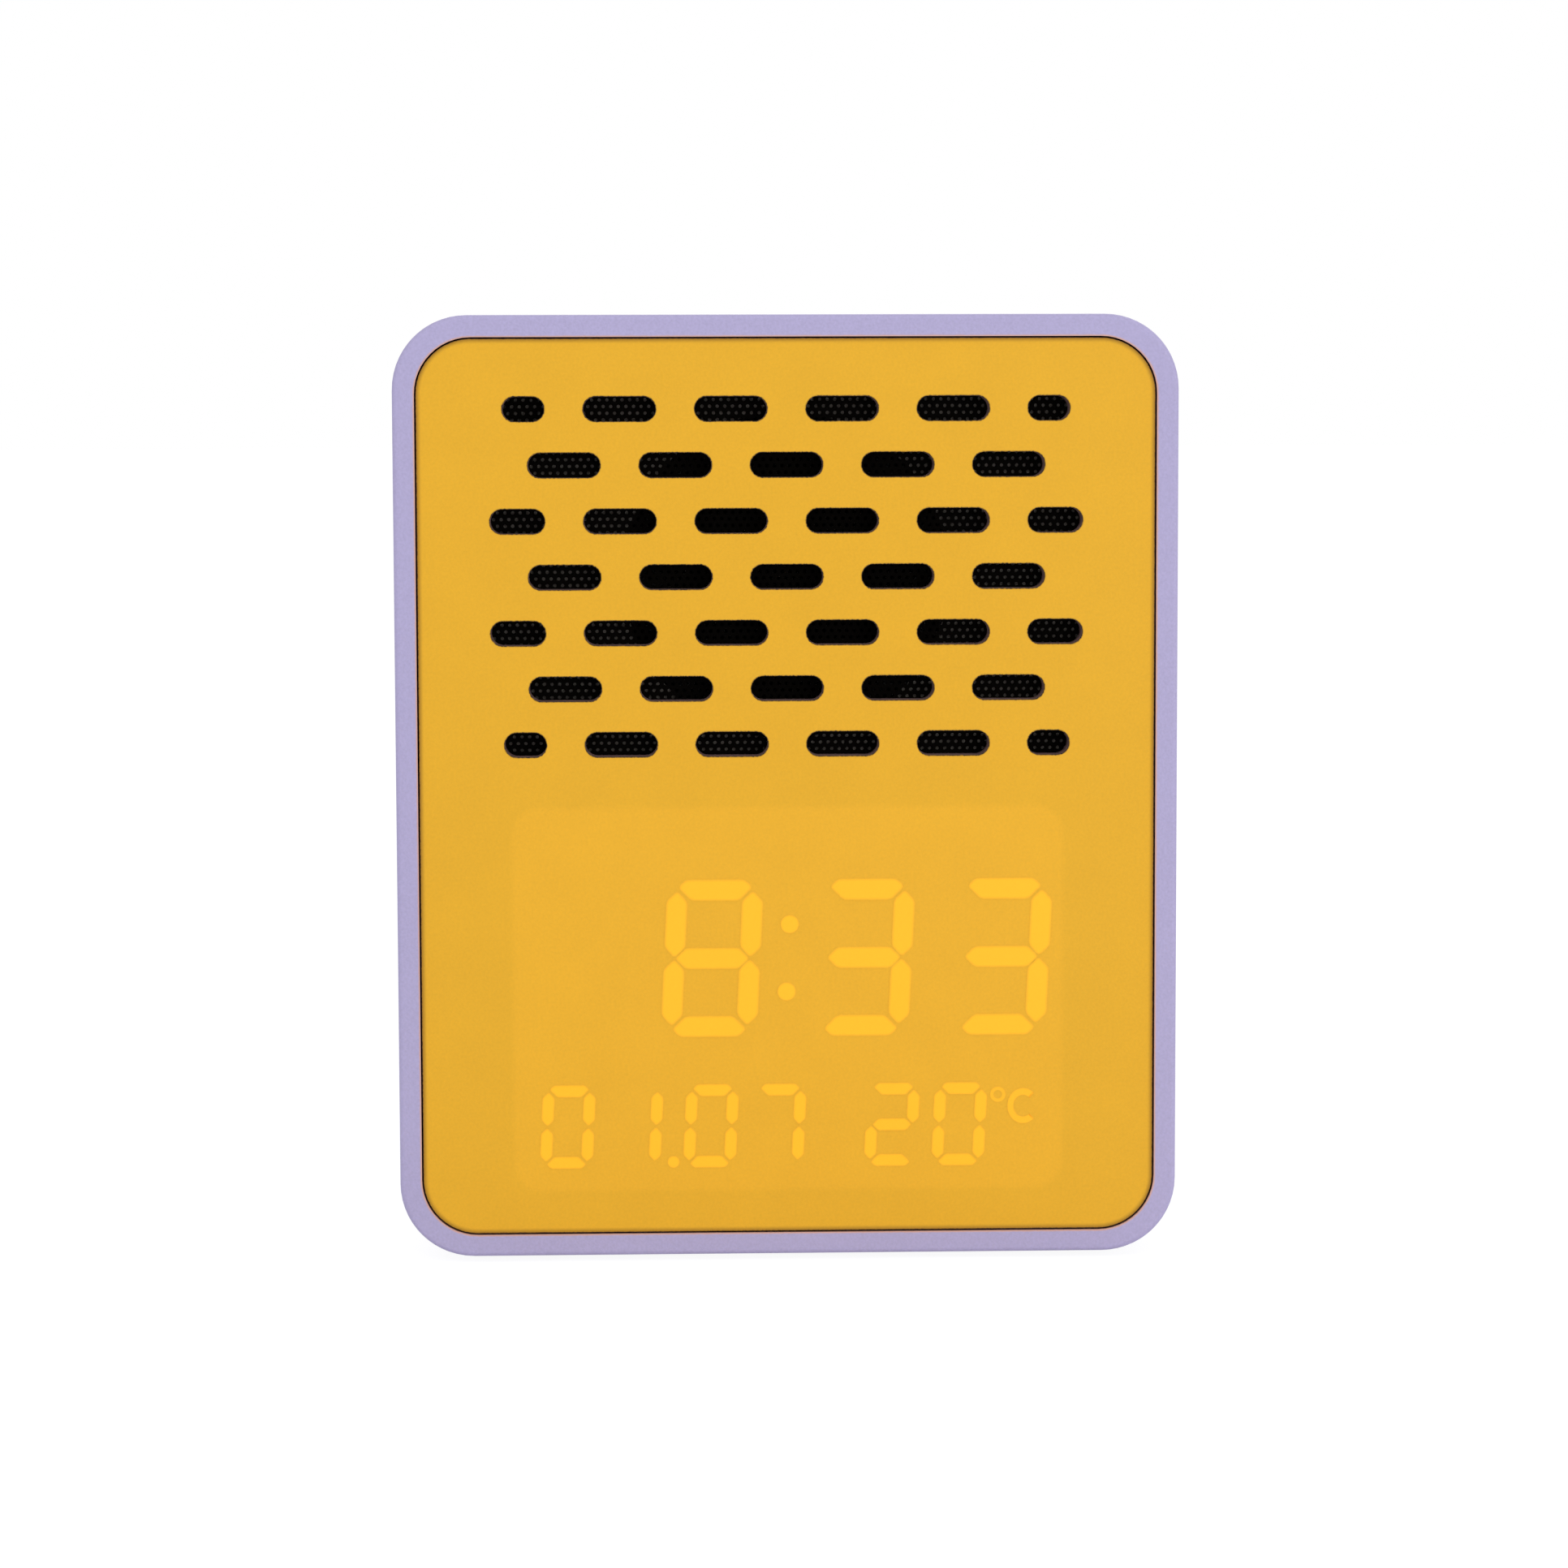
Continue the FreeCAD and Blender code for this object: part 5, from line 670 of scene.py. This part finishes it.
def join_glow(name, parts):
    """Joins flat figures into one thin piece that lies on the skin."""
    nothing_selected()
    for part in parts:
        part.select_set(True)
    bpy.context.view_layer.objects.active = parts[0]
    bpy.ops.object.join()
    piece = bpy.context.object
    piece.name = piece.data.name = name
    bpy.ops.object.transform_apply(location=True, rotation=True, scale=True)
    bpy.ops.object.mode_set(mode="EDIT")
    bpy.ops.mesh.select_all(action="SELECT")
    bpy.ops.transform.translate(value=(0, SKIN_FRONT * MM, 0))
    bpy.ops.mesh.normals_make_consistent(inside=False)
    end_edit()
    solid = piece.modifiers.new("thickness", "SOLIDIFY")
    solid.thickness = GLOW_THICKNESS * MM
    solid.offset = 1
    bpy.ops.object.modifier_apply(modifier=solid.name)
    piece.data.materials.clear()
    piece.data.materials.append(GLOW_FINISH)
    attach(piece, "clock")


GLOW_FINISH = digit_glow()
join_glow("time_glow", figures(TIME, TIME_Z, COLON_DOTS))
join_glow("date_glow", figures(DATE, DATE_Z, DATE_DOTS))
join_glow("warmth_glow", figures(WARMTH, DATE_Z, []) + [degree_ring(), unit_letter()])
for pattern in [*SEGMENT_PATTERNS.values(), *DOT_PATTERNS.values()]:
    bpy.data.objects.remove(pattern)

# The table the clock stands on, and the white room round it

TABLE_GLOW = 1.1
TABLE_GLOW_SHARE = 0.84
ROOM_LIGHT = 0.70


def white_to_the_lens(finish):
    """One for what the camera sees, straight, in a gloss or through something clear."""
    outputs = finish.add("ShaderNodeLightPath").socket.node.outputs
    straight, gloss, through = (Value(finish, outputs[name]) for name in
                                ("Is Camera Ray", "Is Glossy Ray", "Is Transmission Ray"))
    return straight.at_least(gloss).at_least(through)


def table_finish():
    finish = Finish("pale_table")
    colour = finish.tinted(TABLE_WHITE, [(finish.grain(3, 2), 0.01)])
    paint = finish.add("ShaderNodeBsdfDiffuse", {}, {"Color": colour})
    white = finish.add("ShaderNodeEmission", {}, {"Color": (1, 1, 1), "Strength": TABLE_GLOW})
    share = white_to_the_lens(finish) * TABLE_GLOW_SHARE
    top = finish.add("ShaderNodeMixShader", {}, {0: share, 1: paint, 2: white})
    finish.add("ShaderNodeOutputMaterial", {}, [top])
    return finish.material


nothing_selected()
bpy.ops.mesh.primitive_plane_add(size=60)
table = bpy.context.object
table.name = "table"
table.data.materials.append(table_finish())

world = bpy.data.worlds.new("white_room")
bpy.context.scene.world = world
world.use_nodes = True
tree = world.node_tree
tree.nodes.clear()
path = tree.nodes.new("ShaderNodeLightPath")
seen = tree.nodes.new("ShaderNodeMath")
seen.operation = "MAXIMUM"
seen_through = tree.nodes.new("ShaderNodeMath")
seen_through.operation = "MAXIMUM"
strength = tree.nodes.new("ShaderNodeMapRange")
strength.inputs["To Min"].default_value = ROOM_LIGHT
background = tree.nodes.new("ShaderNodeBackground")
background.inputs["Color"].default_value = (1, 1, 1, 1)
output = tree.nodes.new("ShaderNodeOutputWorld")
tree.links.new(path.outputs["Is Camera Ray"], seen.inputs[0])
tree.links.new(path.outputs["Is Glossy Ray"], seen.inputs[1])
tree.links.new(seen.outputs[0], seen_through.inputs[0])
tree.links.new(path.outputs["Is Transmission Ray"], seen_through.inputs[1])
tree.links.new(seen_through.outputs[0], strength.inputs["Value"])
tree.links.new(strength.outputs[0], background.inputs["Strength"])
tree.links.new(background.outputs[0], output.inputs["Surface"])


def soft_lamp(name, place, aim, size, power):
    lamp = bpy.data.lights.new(name, "AREA")
    lamp.shape = "RECTANGLE"
    lamp.size, lamp.size_y = size
    lamp.energy = power
    holder = bpy.data.objects.new(name, lamp)
    bpy.context.collection.objects.link(holder)
    holder.location = place
    holder.rotation_euler = (Vector(aim) - Vector(place)).to_track_quat("-Z", "Y").to_euler()


soft_lamp("key_softbox", (-0.5, -1.1, 1.4), (0, 0, 0.06), (1.2, 1.0), 6)
soft_lamp("fill_softbox", (1.0, -1.2, 0.3), (0, 0, 0.04), (1.2, 0.6), 5.5)
soft_lamp("rear_softbox", (0.4, 1.4, 1.1), (0, 0, 0.06), (1.4, 1.0), 8)

# The camera, a little above the clock and a little to its left

CAMERA_PLACE = Vector((-0.01769, -0.55612, 0.10643))
CAMERA_AIM = Vector((-0.00047, -0.02970, 0.06166))
CAMERA_ROLL = math.radians(-0.178)
CAMERA_LENS = 94.85
camera = bpy.data.objects.new("camera", bpy.data.cameras.new("camera"))
bpy.context.collection.objects.link(camera)
camera.data.sensor_width = 36
camera.data.lens = CAMERA_LENS
camera.data.clip_start = 0.01
camera.data.clip_end = 100
camera.location = CAMERA_PLACE
level = (CAMERA_AIM - CAMERA_PLACE).to_track_quat("-Z", "Y")
camera.rotation_euler = (level @ Quaternion((0, 0, 1), CAMERA_ROLL)).to_euler()
bpy.context.scene.camera = camera
bpy.context.scene.view_settings.view_transform = "Standard"
